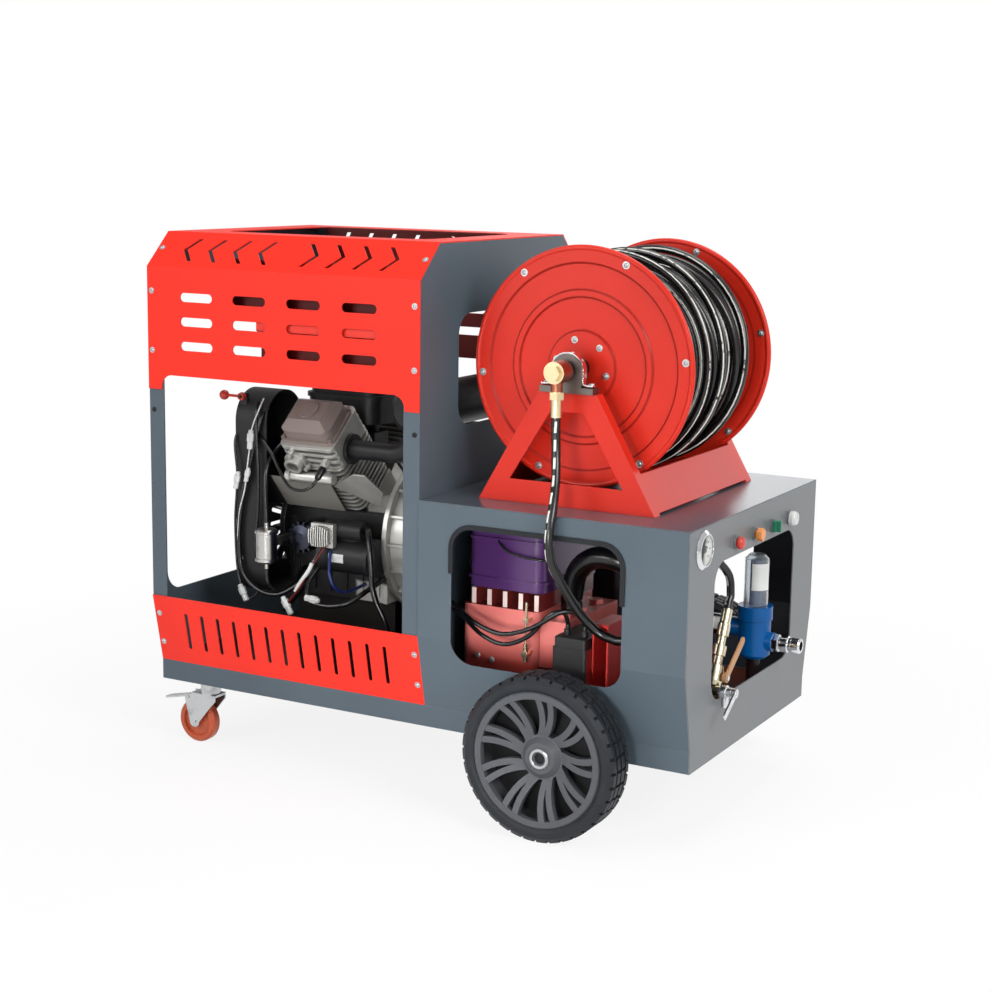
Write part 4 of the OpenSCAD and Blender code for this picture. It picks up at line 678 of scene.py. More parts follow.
def rubber(name, colour, bloom, roughness=0.5):
    f = Finish(name, Specular_IOR_Level=0.3)
    drift, grain = f.noise(24, 5), f.noise(700, 2)
    tone = f.mix(drift.between(0.45, 0.85) * 0.22, colour, bloom)
    dust_and_shade = f.hollows(0.012).between(0.3, 1.0) * drift.between(0.3, 0.6) * 0.15
    tone = f.mix(dust_and_shade, tone, paint(96, 93, 88))
    return f.feed(Base_Color=tone, Roughness=roughness + 0.2 * (drift - 0.5),
                  Normal=f.bump(grain, 0.0002, f.rounded(0.0012)))


tyre_rubber = rubber("tyre_rubber", paint(30, 33, 38), bloom=paint(62, 64, 68))
trim_rubber = rubber("edge_trim", paint(18, 21, 25), bloom=paint(50, 54, 60))
print("mouldings ready, rubbers made")

# %% Covers and cases
MOULDED_BLACK = paint(25, 25, 27)
cylinder_side = past("X", -0.467, -0.464)
clamp_side = past("X", 0.4245, 0.4255)
below_filter = past("Z", 0.317, 0.315)
black_plastic = moulding("black_moulding", MOULDED_BLACK, roughness=0.46, gloss=0.4)
blower_black = moulding("blower_moulding", MOULDED_BLACK, gloss=0.4,
                        patches=[(cylinder_side, paint(126, 124, 118))])
battery_case = moulding("battery_case", MOULDED_BLACK, roughness=0.4,
                        patches=[(clamp_side, paint(206, 46, 40))])
filter_blue = moulding("filter_blue", paint(4, 82, 146), roughness=0.26, grain_depth=0.00005,
                       gloss=0.25, patches=[(below_filter, paint(34, 24, 22))])
print("covers and cases made")

# %% Knobs, handles and leads
KNOB_GRAIN, LEAD_GRAIN = 0.00004, 0.00002
knob_red, knob_yellow, knob_green, knob_white = (
    moulding("knob_" + name, paint(*tone), roughness=0.3, grain_depth=KNOB_GRAIN)
    for name, tone in (("red", (196, 56, 44)), ("yellow", (222, 140, 70)), ("green", (40, 120, 92)),
                       ("white", (214, 216, 214))))
lever_brown = moulding("dipped_handle", paint(176, 128, 84), roughness=0.35, grain_depth=0.00005)
needle_black = moulding("needle_black", paint(18, 18, 18), grain_depth=LEAD_GRAIN)
caster_orange = moulding("caster_tread", paint(186, 80, 44), roughness=0.32, grain_depth=0.00006)
lead_red = moulding("lead_red", paint(116, 22, 22), roughness=0.4, grain_depth=LEAD_GRAIN)
lead_blue = moulding("lead_blue", paint(22, 40, 104), roughness=0.4, grain_depth=LEAD_GRAIN)
print("knobs, handles and leads made")

# %% [markdown]
# ## Hose skin
# Hoses are smooth black rubber with a printed white line. The line could be a thin strip of mesh, but
# the tube's own map is enough: it is a stripe in U that creeps round the hose as it twists, and on the
# delivery hose and the bypass line it is broken into short bars by V.

# %% Hose skins
def hose_skin(name, bar=0.0, twist=0.12, width=0.035, worn=0.3, shift=0.0, where=None):
    f = Finish(name, Specular_IOR_Level=0.6)
    skin = f.node("ShaderNodeTexCoord", output="UV")
    around, along = f.part(skin, "X"), f.part(skin, "Y")
    line = ((around + along * twist + shift) % 1.0).away(0.5).between(width, width * 0.6)
    if bar:
        line = line * ((along % bar).away(bar / 2).between(bar * 0.34, bar * 0.3))
    wear = f.noise(60, 4)
    line = line * wear.between(worn, worn + 0.15)
    if where:
        line = line * where(f)
    drift = f.noise(15, 4)
    tone = f.mix(drift.between(0.4, 0.8), paint(9, 9, 10), paint(24, 24, 26))
    return f.feed(Base_Color=f.mix(line * 0.95, tone, paint(232, 230, 222)),
                  Roughness=0.16 + 0.2 * drift + 0.2 * line, Normal=f.bump(f.noise(500, 2), 0.00012))


bypass_side = past("X", 0.535, 0.54)
jet_skin = hose_skin("jet_hose_skin", twist=0.09, width=0.034)
delivery_skin = hose_skin("delivery_hose_skin", bar=0.040, twist=-0.62, width=0.055, worn=0.25,
                          shift=0.70)
line_skin = hose_skin("line_skin", bar=0.045, width=0.12, where=bypass_side)
for piece, skin in ((jet_hose, jet_skin), (delivery_hose, delivery_skin), (lines, line_skin)):
    piece.data.materials.append(skin)
print("hose skins made")

# %% [markdown]
# ## Clear bowl
# The filter's bowl is clear plastic. A mix with a transparent shader would let light straight through,
# but real plastic bends it, so the shader transmits. Its tint stays the same all over, and only its
# roughness varies.

# %% Clear plastic
bowl_finish = Finish("clear_bowl", Transmission_Weight=0.92, IOR=1.46,
                     Base_Color=paint(232, 238, 242))
clear_bowl = bowl_finish.feed(Roughness=0.06 + 0.12 * bowl_finish.noise(30, 3))
print("clear bowl made")

# %% [markdown]
# ## Dress the frame
# Each CAD piece could be given its material by name, but the record already says which slot it is in,
# so a table from slots to finishes dresses most of them. A few have a second tone or their own gloss,
# and are listed by name.

# %% Put the finishes on the CAD pieces
SLOT_FINISH = {
    "body_grey": body_grey, "panel_grey": panel_grey, "hood_red": hood_red, "reel_red": reel_red,
    "cast_alloy": cast_alloy, "cover_brown": cover_brown, "black_plastic": black_plastic,
    "black_metal": black_metal, "zinc_steel": zinc_steel, "chrome": chrome,
    "purple_paint": purple_paint, "pump_red": pump_red, "hose_rubber": line_skin,
    "filter_blue": filter_blue, "bowl_clear": clear_bowl, "brass": brass,
    "swivel_brown": swivel_brown, "lever_brown": lever_brown, "needle_black": needle_black,
    "knob_red": knob_red, "knob_yellow": knob_yellow, "knob_green": knob_green,
    "knob_white": knob_white, "tyre_rubber": tyre_rubber, "rim_grey": rim_grey,
    "caster_orange": caster_orange,
}
NODE_FINISH = {
    "base_frame": base_grey, "skirt_near": skirt_red, "skirt_far": skirt_red,
    "crankcase": crank_alloy, "engine_filters": filter_steel, "battery": battery_case,
    "blower_housing": blower_black, "reel_flanges": flange_red, "pillow_blocks": block_steel,
    "cabinet_top": top_grey,
}
FRAME_ANGLE = 32
for entry in frame["record"]["subparts"]:
    dressed = nodes[entry["node"]].data
    dressed.materials.clear()
    dressed.materials.append(NODE_FINISH.get(entry["node"], SLOT_FINISH[entry["material_slot"]]))
    dressed.shade_smooth()
    dressed.set_sharp_from_angle(angle=math.radians(FRAME_ANGLE))

# %% [markdown]
# ## Screws and bolts
# Small fasteners are turned shapes: a washer, a head and a socket. Copies of one screw would be many
# objects. Instead, one function turns a profile round any axis, and each group of screws becomes one
# object that rides with the piece it holds.

# %% Turned shapes and pieces
def turn_into(shape, centre, axis, profile, sides, ring=False):
    """Turn (radius, height) pairs about an axis: a closed solid, or a ring if the outline closes."""
    axis = Vector(axis).normalized()
    side = axis.orthogonal().normalized()
    other = axis.cross(side)
    rings = [ring_into(shape, centre + h * axis, r, side, other, sides) for r, h in profile]
    walls_into(shape, rings, closed=ring)


def add(name, shape, body, finish, angle=40):
    """Turn a bmesh into a piece with its finish, riding on a body."""
    piece = link(name, mesh_of(name, shape), angle)
    piece.data.materials.append(finish)
    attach(piece, body)
    return piece


BUTTON = ((1.7, 0), (1.7, 0.25), (1.0, 0.25), (1.0, 0.6), (0.8, 0.85), (0.45, 0.95), (0.45, 0.55))
HEX = ((1.25, 0), (1.25, 0.2), (1.0, 0.2), (1.0, 0.8), (0.85, 0.95))


def screws(name, spots, body, radius, finish=zinc_steel, form=BUTTON, sides=16):
    """Screw heads at (place, direction) pairs."""
    shape = bmesh.new()
    for place, direction in spots:
        turn_into(shape, place, direction, [(r * radius, h * radius) for r, h in form], sides)
    return add(name, shape, body, finish)


print("screw forms", len(BUTTON), "and", len(HEX), "steps")

# %% Body screws
POSTS, HALF_WIDTH, SKIRT_FOOT, SKIRT_RISE, SKIRT_SLOPE = (13, 737), 380, 49, 168, 35
ROOF_AT, POST_FACE, PLUG_HEIGHT = (337, 1050.3), 377, 670
SLOPE_OUT = Vector((0, -SKIRT_RISE, -SKIRT_SLOPE)).normalized()
ROOF_OUT = Vector((0, -79, 82)).normalized()
SCREW_R, PLUG_R = 0.0042, 0.0035
hood_spots, skirt_spots, post_spots = [], [], []
for side in (-1, 1):
    flip, outward = Vector((1, -side, 1)), (0, side, 0)
    for along in POSTS:
        for height in (952, 812):
            hood_spots.append((at(along, side * HALF_WIDTH, height), outward))
        hood_spots.append((at(along, side * ROOF_AT[0], ROOF_AT[1]), ROOF_OUT * flip))
        post_spots.append((at(along, side * POST_FACE, PLUG_HEIGHT), outward))
        for height in (171, 97):
            up_slope = SKIRT_SLOPE * (height - SKIRT_FOOT) / SKIRT_RISE
            across = HALF_WIDTH - SKIRT_SLOPE + up_slope
            skirt_spots.append((at(along, side * across, height), SLOPE_OUT * flip))
screws("hood_screws", hood_spots, "chassis", SCREW_R)
screws("skirt_screws", skirt_spots, "chassis", SCREW_R)
screws("post_plugs", post_spots, "chassis", PLUG_R, finish=black_plastic)
print("body screws", len(hood_spots) + len(skirt_spots) + len(post_spots))

# %% Reel bolts, bearing bolts and pump bolts
RIM_R, HUB_R, RIM_T, HUB_T = 246, 62, 8, 10
NEAR_TURNED, FAR_TURNED, HUB_TURNED = 6, 13, 46
FOOT_AT, PUMP_FACE, PUMP_BOLTS = (54, 272, 794), -250, ((833, 158), (870, 151))
rim_spots, hub_spots, foot_spots = [], [], []


def round_the_reel(radius, degrees, across):
    """A point at a radius and an angle about the reel's axis."""
    a = math.radians(degrees)
    return at(REEL_ALONG + radius * math.cos(a), across, REEL_HEIGHT + radius * math.sin(a))


for k in range(6):
    for across, way, start in ((NEAR_FLANGE - RIM_T, -1, NEAR_TURNED), (FAR_FLANGE, -1, FAR_TURNED),
                               (FAR_FLANGE + RIM_T, 1, FAR_TURNED)):
        rim_spots.append((round_the_reel(RIM_R, start + 60 * k, across), (0, way, 0)))
    for across, way in ((NEAR_FLANGE - HUB_T, -1), (FAR_FLANGE + HUB_T, 1)):
        hub_spots.append((round_the_reel(HUB_R, HUB_TURNED + 60 * k, across), (0, way, 0)))
for side in (-1, 1):
    for end in (-1, 1):
        foot = at(REEL_ALONG + end * FOOT_AT[0], side * FOOT_AT[1], FOOT_AT[2])
        foot_spots.append((foot, (0, 0, 1)))
pump_spots = [(at(along, PUMP_FACE, height), (0, -1, 0)) for along, height in PUMP_BOLTS]
screws("reel_rim_bolts", rim_spots, "reel", 0.005)
screws("reel_hub_bolts", hub_spots, "reel", 0.0046)
screws("bearing_bolts", foot_spots, "chassis", 0.007, form=HEX, sides=6)
screws("pump_bolts", pump_spots, "chassis", 0.006, form=HEX, sides=6)
print("reel bolts", len(rim_spots) + len(hub_spots))

# %% [markdown]
# ## Bearing straps
# A bright pressed strap goes over each bearing like a saddle, with a foot on each side. It could be
# bent from a plate with a modifier, but it is simpler as a flat section carried along a path, so the
# path and the direction across it are all it needs.

# %% Strips carried along a path
def strip_into(shape, path, across, thick, wide):
    """Sweep a flat section: thick lies in the plane of the path, wide along the given direction."""
    across = Vector(across).normalized()
    rings = []
    for i, point in enumerate(path):
        out = heading(path, i).cross(across).normalized()
        rings.append([shape.verts.new(point + u * thick / 2 * out + v * wide / 2 * across)
                      for u, v in ((-1, -1), (1, -1), (1, 1), (-1, 1))])
    walls_into(shape, rings)


def arc(centre, radius, first, last, step):
    """Points of a flat arc about a centre, by degrees."""
    angles = [math.radians(a) for a in range(first, last, step)]
    return [(centre[0] + radius * math.cos(a), centre[1] + radius * math.sin(a)) for a in angles]


STRAP_R, STRAP_T, STRAP_W, STRAP_ACROSS = 37.8, 0.003, 0.016, 276
STRAP_FOOT = ((62, -30.4), (50, -30.4), (STRAP_R + 4, -29), (STRAP_R, -25))
outline = [*STRAP_FOOT, *arc((0, 0), STRAP_R, 0, 181, 9), *((-x, z) for x, z in STRAP_FOOT[::-1])]
shape = bmesh.new()
for side in (-1, 1):
    strap = [at(REEL_ALONG + x, side * STRAP_ACROSS, REEL_HEIGHT + z) for x, z in outline]
    strip_into(shape, strap, (0, 1, 0), STRAP_T, STRAP_W)
add("bearing_straps", shape, "chassis", chrome, 30)
print("bearing straps 2")

# %% [markdown]
# ## Hood baffle
# A red sheet hangs from the roof behind the near louvres and leaves the first column open. Its dark
# red is painted shade, standing in for the shadowed inside of the hood. Its pressed bead lies close
# behind the middle row, where it catches the light, and the bead's front is painted bright red as a
# painted highlight. A flat plate with a painted stripe would look the same from the front only, so the
# bead is part of the strip's path.

# %% Hood baffle
BAFFLE_Y, BEAD_Y, BEAD_Z, BAFFLE_T = -351, -371, 883, 0.0016
BAFFLE_END, UPPER_START, LOWER_START = 735, 225, 308
BAFFLE_FOOT, BAFFLE_STEP, BAFFLE_LAP, BAFFLE_TOP, UPPER_Y = 800, 912, 12, 1034.4, BAFFLE_Y + 1.7


def bead_face(f):
    """1 along the front of the bead, where a painted highlight goes."""
    return f.place("Z").away(at(0, 0, BEAD_Z).z).between(0.016, 0.012)


shaded_baffle = powder_coat("baffle_red_coat", paint(104, 12, 9), shade_and_grime=0.2,
                         patches=[(bead_face, paint(242, 62, 48))])
half_bead = ((BAFFLE_Y, 18), (BAFFLE_Y - 8, 14), (BEAD_Y, 9))
bead = [(across, -rise) for across, rise in half_bead] + list(half_bead[::-1])
lower = [(BAFFLE_Y, BAFFLE_FOOT), *((across, BEAD_Z + rise) for across, rise in bead),
         (BAFFLE_Y, BAFFLE_STEP)]
upper = [(UPPER_Y, BAFFLE_STEP - BAFFLE_LAP), (UPPER_Y, BAFFLE_TOP)]
shape = bmesh.new()
for start, sheet in ((LOWER_START, lower), (UPPER_START, upper)):
    middle, wide = (start + BAFFLE_END) / 2, (BAFFLE_END - start) / 1000
    strip_into(shape, [at(middle, *spot) for spot in sheet], (1, 0, 0), BAFFLE_T, wide)
add("hood_shade_baffle", shape, "chassis", shaded_baffle, 30)
print("hood baffle of 2 sheets")

# %% [markdown]
# ## Window edge trim
# A rubber guard covers the top edge of the near side window, where the delivery hose goes through, and
# comes a third of the way down each side. A bevelled curve would be round, and the guard is flat on
# the panel, so it is another strip.

# %% Edge trim
WINDOW_LEFT, WINDOW_RIGHT, CORNER_R, CORNER_Z, TRIM_Y = 835, 1250, 50, 430, -379.2
TRIM_T, TRIM_W = 0.011, 0.009
trim_line = [
    (WINDOW_LEFT, 372), (WINDOW_LEFT, 400),
    *arc((WINDOW_LEFT + CORNER_R, CORNER_Z), CORNER_R, 180, 89, -9),
    *arc((WINDOW_RIGHT - CORNER_R, CORNER_Z), CORNER_R, 90, -1, -9),
    (WINDOW_RIGHT, 390), (WINDOW_RIGHT, 352),
]
shape = bmesh.new()
strip_into(shape, [at(x, TRIM_Y, z) for x, z in trim_line], (0, 1, 0), TRIM_T, TRIM_W)
add("window_trim", shape, "chassis", trim_rubber, 30)
print("window trim of", len(trim_line), "points")

# %% [markdown]
# ## Gauge dial
# The dial is a white disc with a printed scale, under a clear lens. A texture could hold the scale, but
# it would blur close up, so the marks are thin strips and the numbers are text turned into mesh, all
# in one piece. The numbers are a plain pressure scale.

# %% Dial face
DIAL_X, DIAL_Y, DIAL_Z = 1403.2, -312, 478
DIAL_FORM = ((0.0316, -0.0001), (0.0316, 0.0003), (0.0312, 0.0004))
dial_finish = Finish("dial_white", Specular_IOR_Level=0.3)
fade = dial_finish.noise(60, 3)
dial_tone = dial_finish.mix(fade, paint(236, 236, 230), paint(246, 246, 242))
dial_white = dial_finish.feed(Base_Color=dial_tone, Roughness=0.5 + 0.1 * fade)
shape = bmesh.new()
turn_into(shape, at(DIAL_X, DIAL_Y, DIAL_Z), (1, 0, 0), DIAL_FORM, 48)
add("dial_face", shape, "chassis", dial_white)
print("dial face of", round(2000 * DIAL_FORM[0][0], 1), "mm")

# %% Scale
FIRST_ANGLE, MARK_ANGLE, MARKS, LONG_EVERY = 225, 9, 31, 5
MARK_OUTER, LONG_INNER, SHORT_INNER, NUMBER_R = 29.5, 24.5, 27, 20
NUMBERS, NUMBER_SIZE, PRINT_LIFT, PRINT_T = range(0, 301, 50), 0.0062, 0.45, 0.0001


def dial_spot(radius, degrees):
    """A point on the printed face, at a radius and an angle."""
    a = math.radians(degrees)
    return at(DIAL_X + PRINT_LIFT, DIAL_Y + radius * math.cos(a), DIAL_Z + radius * math.sin(a))


shape = bmesh.new()
for k in range(MARKS):
    degrees = FIRST_ANGLE - MARK_ANGLE * k
    inner, thick = (SHORT_INNER, 0.0005) if k % LONG_EVERY else (LONG_INNER, 0.0009)
    mark = [dial_spot(MARK_OUTER, degrees), dial_spot(inner, degrees)]
    strip_into(shape, mark, (1, 0, 0), thick, 2 * PRINT_T)
facing = Matrix(((0, 0, 1), (1, 0, 0), (0, 1, 0))).to_4x4()
for k, value in enumerate(NUMBERS):
    letters = bpy.data.curves.new("scale_number", "FONT")
    letters.body, letters.size, letters.extrude = str(value), NUMBER_SIZE, PRINT_T
    letters.align_x, letters.align_y = "CENTER", "CENTER"
    stamp = bpy.data.objects.new("scale_number", letters)
    scene.collection.objects.link(stamp)
    bpy.context.view_layer.update()
    ready = stamp.evaluated_get(bpy.context.evaluated_depsgraph_get())
    mesh = bpy.data.meshes.new_from_object(ready)
    spot = dial_spot(NUMBER_R, FIRST_ANGLE - LONG_EVERY * MARK_ANGLE * k)
    mesh.transform(Matrix.Translation(spot) @ facing)
    shape.from_mesh(mesh)
    bpy.data.objects.remove(stamp)
add("dial_scale", shape, "chassis", needle_black)
print("scale with", len(NUMBERS), "numbers")

# %% Gauge lens
LENS_X, LENS_FORM = 1407.4, ((0.0318, 0), (0.0318, 0.0006), (0.030, 0.0012))
lens_finish = Finish("gauge_lens", Transmission_Weight=1.0, IOR=1.45, Base_Color=(1, 1, 1, 1))
gauge_lens = lens_finish.feed(Roughness=0.02 + 0.03 * lens_finish.noise(80, 2))
shape = bmesh.new()
turn_into(shape, at(LENS_X, DIAL_Y, DIAL_Z), (1, 0, 0), LENS_FORM, 48)
add("gauge_lens", shape, "chassis", gauge_lens)
print("gauge lens made")

# %% [markdown]
# ## Hub bushes and wheel backs
# Each wheel's hub ends in a bright bush with a dark bore, and a plain black plate closes the rim behind
# its spokes. Both are round about the axle, so they are turned like the screws, but as rings whose
# outline closes. They turn with their wheel.

# %% Hub bushes and wheel backs
WHEEL_ALONG, WHEEL_HEIGHT, BUSH_Y, BACK_Y, BORE_Y = 1100, 14, 453, 408, 446.4
BUSH = ((0.0155, -0.006), (0.0155, 0.004), (0.0165, 0.005), (0.021, 0.005), (0.023, 0.003),
        (0.023, 0.0002))
BACK = ((0.0503, 0.0), (0.0503, 0.003), (0.1415, 0.003), (0.1415, 0.0))
BORE = ((0.0154, 0.0), (0.0154, 0.001))
for side, body in ((-1, "wheel_near"), (1, "wheel_far")):
    outward = (0, side, 0)
    bush_at, back_at, bore_at = (at(WHEEL_ALONG, side * across, WHEEL_HEIGHT)
                                 for across in (BUSH_Y, BACK_Y, BORE_Y))
    shape = bmesh.new()
    turn_into(shape, bush_at, outward, BUSH, 32, ring=True)
    add("hub_bush_" + body, shape, body, zinc_steel)
    shape = bmesh.new()
    turn_into(shape, back_at, outward, BACK, 64, ring=True)
    turn_into(shape, bore_at, outward, BORE, 32)
    add("wheel_back_" + body, shape, body, black_metal)
print("hub bushes 2, wheel backs 2")

# %% [markdown]
# ## Engine wiring
# A loom comes down the near side of the fan housing, turns under the fuel filter and ends at the
# starter. Thinner leads join it, each by a white connector, and a heavy cable drops from the solenoid
# to the base. A spark lead goes from the plug's boot to the fan housing, and a thin cable crosses the
# reducer. Wires could hang by simulation, but these are tied to the engine, so each has its route.
# Both ends of every lead go into a piece of the machine, so that nothing hangs free.

# %% Routes of the leads
LOOM = (
    (0.0055, ((240, -248, 668), (236, -262, 640), (214, -264, 560), (190, -266, 470),
              (176, -266, 368), (186, -268, 280), (236, -276, 240), (290, -268, 232),
              (340, -250, 262), (384, -214, 312))),
    (0.0045, ((226, -250, 690), (228, -264, 660), (232, -268, 600), (236, -268, 520),
              (232, -266, 430), (222, -262, 340), (228, -250, 290))),
    (0.003, ((166, -248, 620), (164, -264, 590), (176, -272, 520), (174, -272, 470),
             (166, -268, 400), (168, -266, 300), (182, -272, 250), (196, -274, 212),
             (212, -262, 214), (222, -250, 228))),
    (0.007, ((500, -212, 398), (526, -240, 410), (545, -264, 408), (560, -282, 380),
             (568, -286, 330), (570, -286, 290), (582, -284, 250), (600, -280, 212),
             (626, -274, 130), (640, -270, 44))),
    (0.0035, ((416, -252, 372), (400, -276, 330), (384, -284, 296), (352, -286, 244),
              (330, -286, 216), (312, -270, 196), (300, -220, 206), (298, -148, 240))),
    (0.006, ((384, -226, 306), (376, -262, 272), (392, -284, 236), (440, -284, 226),
             (490, -270, 236), (520, -230, 262), (528, -152, 282))),
    (0.0038, ((434, -296, 546), (434, -316, 529), (426, -326, 515), (400, -326, 505),
              (358, -314, 508), (316, -292, 536), (282, -276, 572), (252, -266, 596),
              (232, -256, 610), (220, -242, 616))),
    (0.0025, ((868, -224, 434), (877, -236, 421), (892, -240, 408), (910, -240, 400),
              (944, -240, 394), (980, -240, 393), (998, -226, 392), (998, -206, 391),
              (978, -192, 390))),
)
RED_LEADS = (
    (0.0022, ((420, -254, 366), (396, -282, 312), (368, -290, 262), (346, -290, 236),
              (336, -289, 222))),
)
BLUE_LEADS = (
    (0.004, ((428, -246, 350), (436, -264, 322), (446, -276, 296), (456, -270, 270),
             (462, -230, 252), (464, -148, 256))),
)
PALE_LEADS = (
    (0.0018, ((240, -250, 700), (238, -266, 676), (222, -272, 632), (214, -273, 580),
              (206, -273, 530), (198, -272, 480), (180, -270, 420), (174, -268, 340),
              (180, -250, 296))),
    (0.005, ((399, -282, 324), (392, -286, 306), (366, -288, 270), (356, -288, 252))),
)
print("routes", len(LOOM) + len(RED_LEADS) + len(BLUE_LEADS) + len(PALE_LEADS))

# %% Leads and the spark plug's boot
def leads(name, routes, finish):
    """Tubes along (radius, route) pairs, as one piece."""
    shape = bmesh.new()
    for radius, route in routes:
        tube_into(shape, smooth([at(*p) for p in route]), radius, sides=10)
    return add(name, shape, "chassis", finish)


BOOT_AT, BOOT_WAY = (434, -301.7, 541.4), (0, -0.755, -0.656)
BOOT = ((0.0076, -0.020), (0.0092, -0.019), (0.0092, -0.004), (0.0080, 0.0), (0.0080, 0.008),
        (0.0060, 0.013))
leads("engine_loom", LOOM, line_skin)
shape = bmesh.new()
turn_into(shape, at(*BOOT_AT), BOOT_WAY, BOOT, 20)
add("plug_boot", shape, "chassis", line_skin)
leads("red_leads", RED_LEADS, lead_red)
leads("blue_leads", BLUE_LEADS, lead_blue)
leads("pale_leads", PALE_LEADS, knob_white)
print("four groups of leads and a boot")

# %% Connectors
PLUG = ((0.45, -1.0), (0.8, -0.92), (0.8, -0.2), (1.0, -0.15), (1.0, 0.6), (0.7, 0.66), (0.7, 0.92),
        (0.4, 1.0))
CONNECTORS = (
    ((217, -273, 602), (0.1, 0, 1), 0.009, 0.024), ((176, -273, 500), (0.2, 0, 1), 0.008, 0.022),
    ((207, -274, 516), (0.25, 0, 1), 0.007, 0.018), ((194, -276, 226), (-0.5, 0, 1), 0.009, 0.022),
    ((331, -288, 214), (-0.6, 0, 1), 0.009, 0.024), ((402, -286, 238), (1, 0, -0.1), 0.010, 0.020),
)
shape = bmesh.new()
for place, way, radius, half in CONNECTORS:
    turn_into(shape, at(*place), way, [(r * radius, h * half) for r, h in PLUG], 6)
add("lead_connectors", shape, "chassis", knob_white, 30)
print("connectors", len(CONNECTORS))

# %% [markdown]
# ## Charge regulator and labels
# A small finned regulator sits beside the starter: a plate with upright fins that are shorter towards
# its ends. The starter and the filter's bowl each carry a blank label. An array modifier could repeat
# the fins, but each has its own length, so a loop makes them, and strips serve for all of it.

# %% Charge regulator
REGULATOR_ALONG, REGULATOR_Z, PLATE_Y, PLATE_REACH = 406, 386, -243, 28
PLATE_T, PLATE_W, FIN_T, FIN_W, FIN_Y, FIN_CREST_Y = 0.016, 0.062, 0.0032, 0.018, -259, -261
FINS, FIN_PITCH, LONGEST_FIN, SHORTER = 9, 6.4, 25, 0.5
shape = bmesh.new()
plate = [at(REGULATOR_ALONG, PLATE_Y, REGULATOR_Z + way * PLATE_REACH) for way in (-1, 1)]
strip_into(shape, plate, (1, 0, 0), PLATE_T, PLATE_W)
for k in range(FINS):
    off_centre = k - (FINS - 1) / 2
    along, reach = REGULATOR_ALONG + FIN_PITCH * off_centre, LONGEST_FIN - SHORTER * off_centre ** 2
    fin = [at(along, FIN_Y, REGULATOR_Z - reach), at(along, FIN_CREST_Y, REGULATOR_Z),
           at(along, FIN_Y, REGULATOR_Z + reach)]
    strip_into(shape, fin, (0, 1, 0), FIN_T, FIN_W)
add("charge_regulator", shape, "chassis", cast_alloy, 30)
print("regulator with", FINS, "fins")

# %% Blank labels
STARTER_ALONG, STARTER_AT, STARTER_LABEL_R = 443, (-206, 335), 42.3
BOWL_AT, BOWL_LABEL_Z, BOWL_LABEL_R = (1365, 100), 342, 28.4
shape = bmesh.new()
curve = arc((0, STARTER_AT[1]), STARTER_LABEL_R, -14, 15, 4)
strip_into(shape, [at(STARTER_ALONG, STARTER_AT[0] - out, z) for out, z in curve], (1, 0, 0),
           0.0005, 0.042)
curve = arc(BOWL_AT, BOWL_LABEL_R, -92, 1, 6)
strip_into(shape, [at(x, y, BOWL_LABEL_Z) for x, y in curve], (0, 0, 1), 0.0004, 0.062)
add("blank_labels", shape, "chassis", knob_white, 60)
print("blank labels 2")

# %% [markdown]
# ## Floor and light
# A pale floor catches a soft shadow and fades to white away from the machine. More light would whiten
# it, but would bleach the machine too, so the floor glows a little towards whatever sees it. Large
# lamps give plain studio light: a key from the panel end, a fill from the operator's side and a top
# light. A smaller one stands low, and lights the pump through the side window. Two stand behind, and
# shine back off the cabinet's top and the end faces of the reel's stand.

# %% Floor
def ray(tree, kind):
    """1 for rays of that kind."""
    return tree.node("ShaderNodeLightPath", output="Is " + kind + " Ray")


def by_mirror(tree):
    """1 for rays that come off shiny metal or through clear plastic."""
    return ray(tree, "Glossy").larger(ray(tree, "Transmission"))


FLOOR_REACH, FLOOR_Z, FADE, LEAST_GLOW = 14.0, -0.0006, (0.9, 2.4), 0.86
shape = bmesh.new()
bmesh.ops.create_circle(shape, cap_ends=True, segments=96, radius=FLOOR_REACH,
                        matrix=Matrix.Translation((0, 0, FLOOR_Z)))
floor = link("floor", mesh_of("floor", shape))
paper = Finish("floor_paper", Roughness=0.9, Specular_IOR_Level=0.1)
paper.feed(Base_Color=paper.mix(paper.noise(40, 3), paint(240, 240, 240), paint(246, 246, 246)))
reach = paper.node("ShaderNodeVectorMath", {"operation": "LENGTH"}, {0: paper.spot()}, output="Value")
seen = ray(paper, "Camera").larger(by_mirror(paper))
share = (LEAST_GLOW + (1 - LEAST_GLOW) * reach.between(*FADE)) * seen
glow = paper.node("ShaderNodeEmission", inputs={"Color": (1, 1, 1, 1), "Strength": 1.0})
plain = Wire(paper, paper.shader.outputs[0])
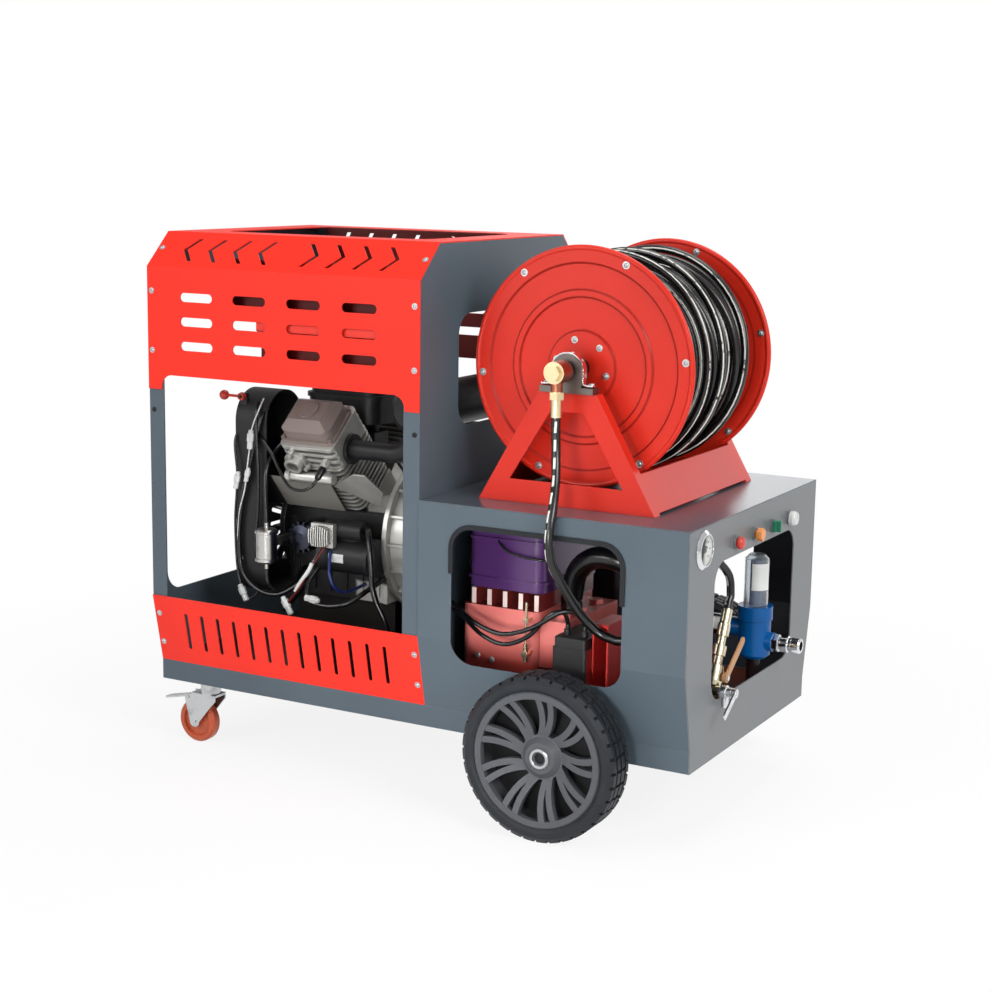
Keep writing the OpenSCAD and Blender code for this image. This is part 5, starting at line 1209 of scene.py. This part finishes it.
blend = paper.node("ShaderNodeMixShader", inputs={0: share, 1: plain, 2: glow})
paper.own.links.new(blend.socket, paper.own.nodes["Material Output"].inputs["Surface"])
floor.data.materials.append(paper.material)
print("floor reaches", FLOOR_REACH, "m")

# %% Lamps
def lamp(name, place, target, size, watts, spread):
    """A round lamp at a place, turned towards its target; its spread is in degrees."""
    light = bpy.data.lights.new(name, "AREA")
    light.shape, light.size, light.energy = "DISK", size, watts
    light.spread = math.radians(spread)
    made = bpy.data.objects.new(name, light)
    made.location = place
    made.rotation_euler = (Vector(target) - Vector(place)).to_track_quat("-Z", "Y").to_euler()
    scene.collection.objects.link(made)


MIDDLE, PUMP = (0, 0, 0.6), (0.18, -0.25, 0.42)
CABINET_TOP, STAND = (0.6, 0.15, 0.695), (0.4, 0.0, 0.8)
LAMPS = (
    ("key_lamp", (4.6, -2.2, 3.4), MIDDLE, 2.6, 180, 180),
    ("fill_lamp", (-2.2, -5.0, 2.6), MIDDLE, 3.2, 122, 180),
    ("low_lamp", (0.7, -2.6, 0.62), PUMP, 0.5, 1.8, 44),
    ("top_lamp", (0.4, 0.6, 5.2), MIDDLE, 3.4, 110, 180),
    ("back_lamp", (-1.15, 4.75, 1.56), CABINET_TOP, 3.0, 26, 180),
    ("corner_lamp", (2.3, 4.5, 1.8), STAND, 2.4, 19, 180),
)
for row in LAMPS:
    lamp(*row)
print("lamps", len(LAMPS))

# %% [markdown]
# ## World
# Round the machine there is only white. A plain white world would light it from all sides and flatten
# it, so its strength depends on the ray: full for what the camera sees, less in mirrors, and a low
# level as light.

# %% World
AMBIENT, MIRROR_LEVEL = 0.28, 0.55
world = bpy.data.worlds.new("studio")
scene.world = world
world.use_nodes = True
sky = Tree(world.node_tree)
strength = AMBIENT + ray(sky, "Camera") * (1 - AMBIENT) + by_mirror(sky) * (MIRROR_LEVEL - AMBIENT)
backdrop = sky.own.nodes["Background"]
backdrop.inputs["Color"].default_value = (1, 1, 1, 1)
sky.own.links.new(strength.socket, backdrop.inputs["Strength"])
print("world lights at", AMBIENT)
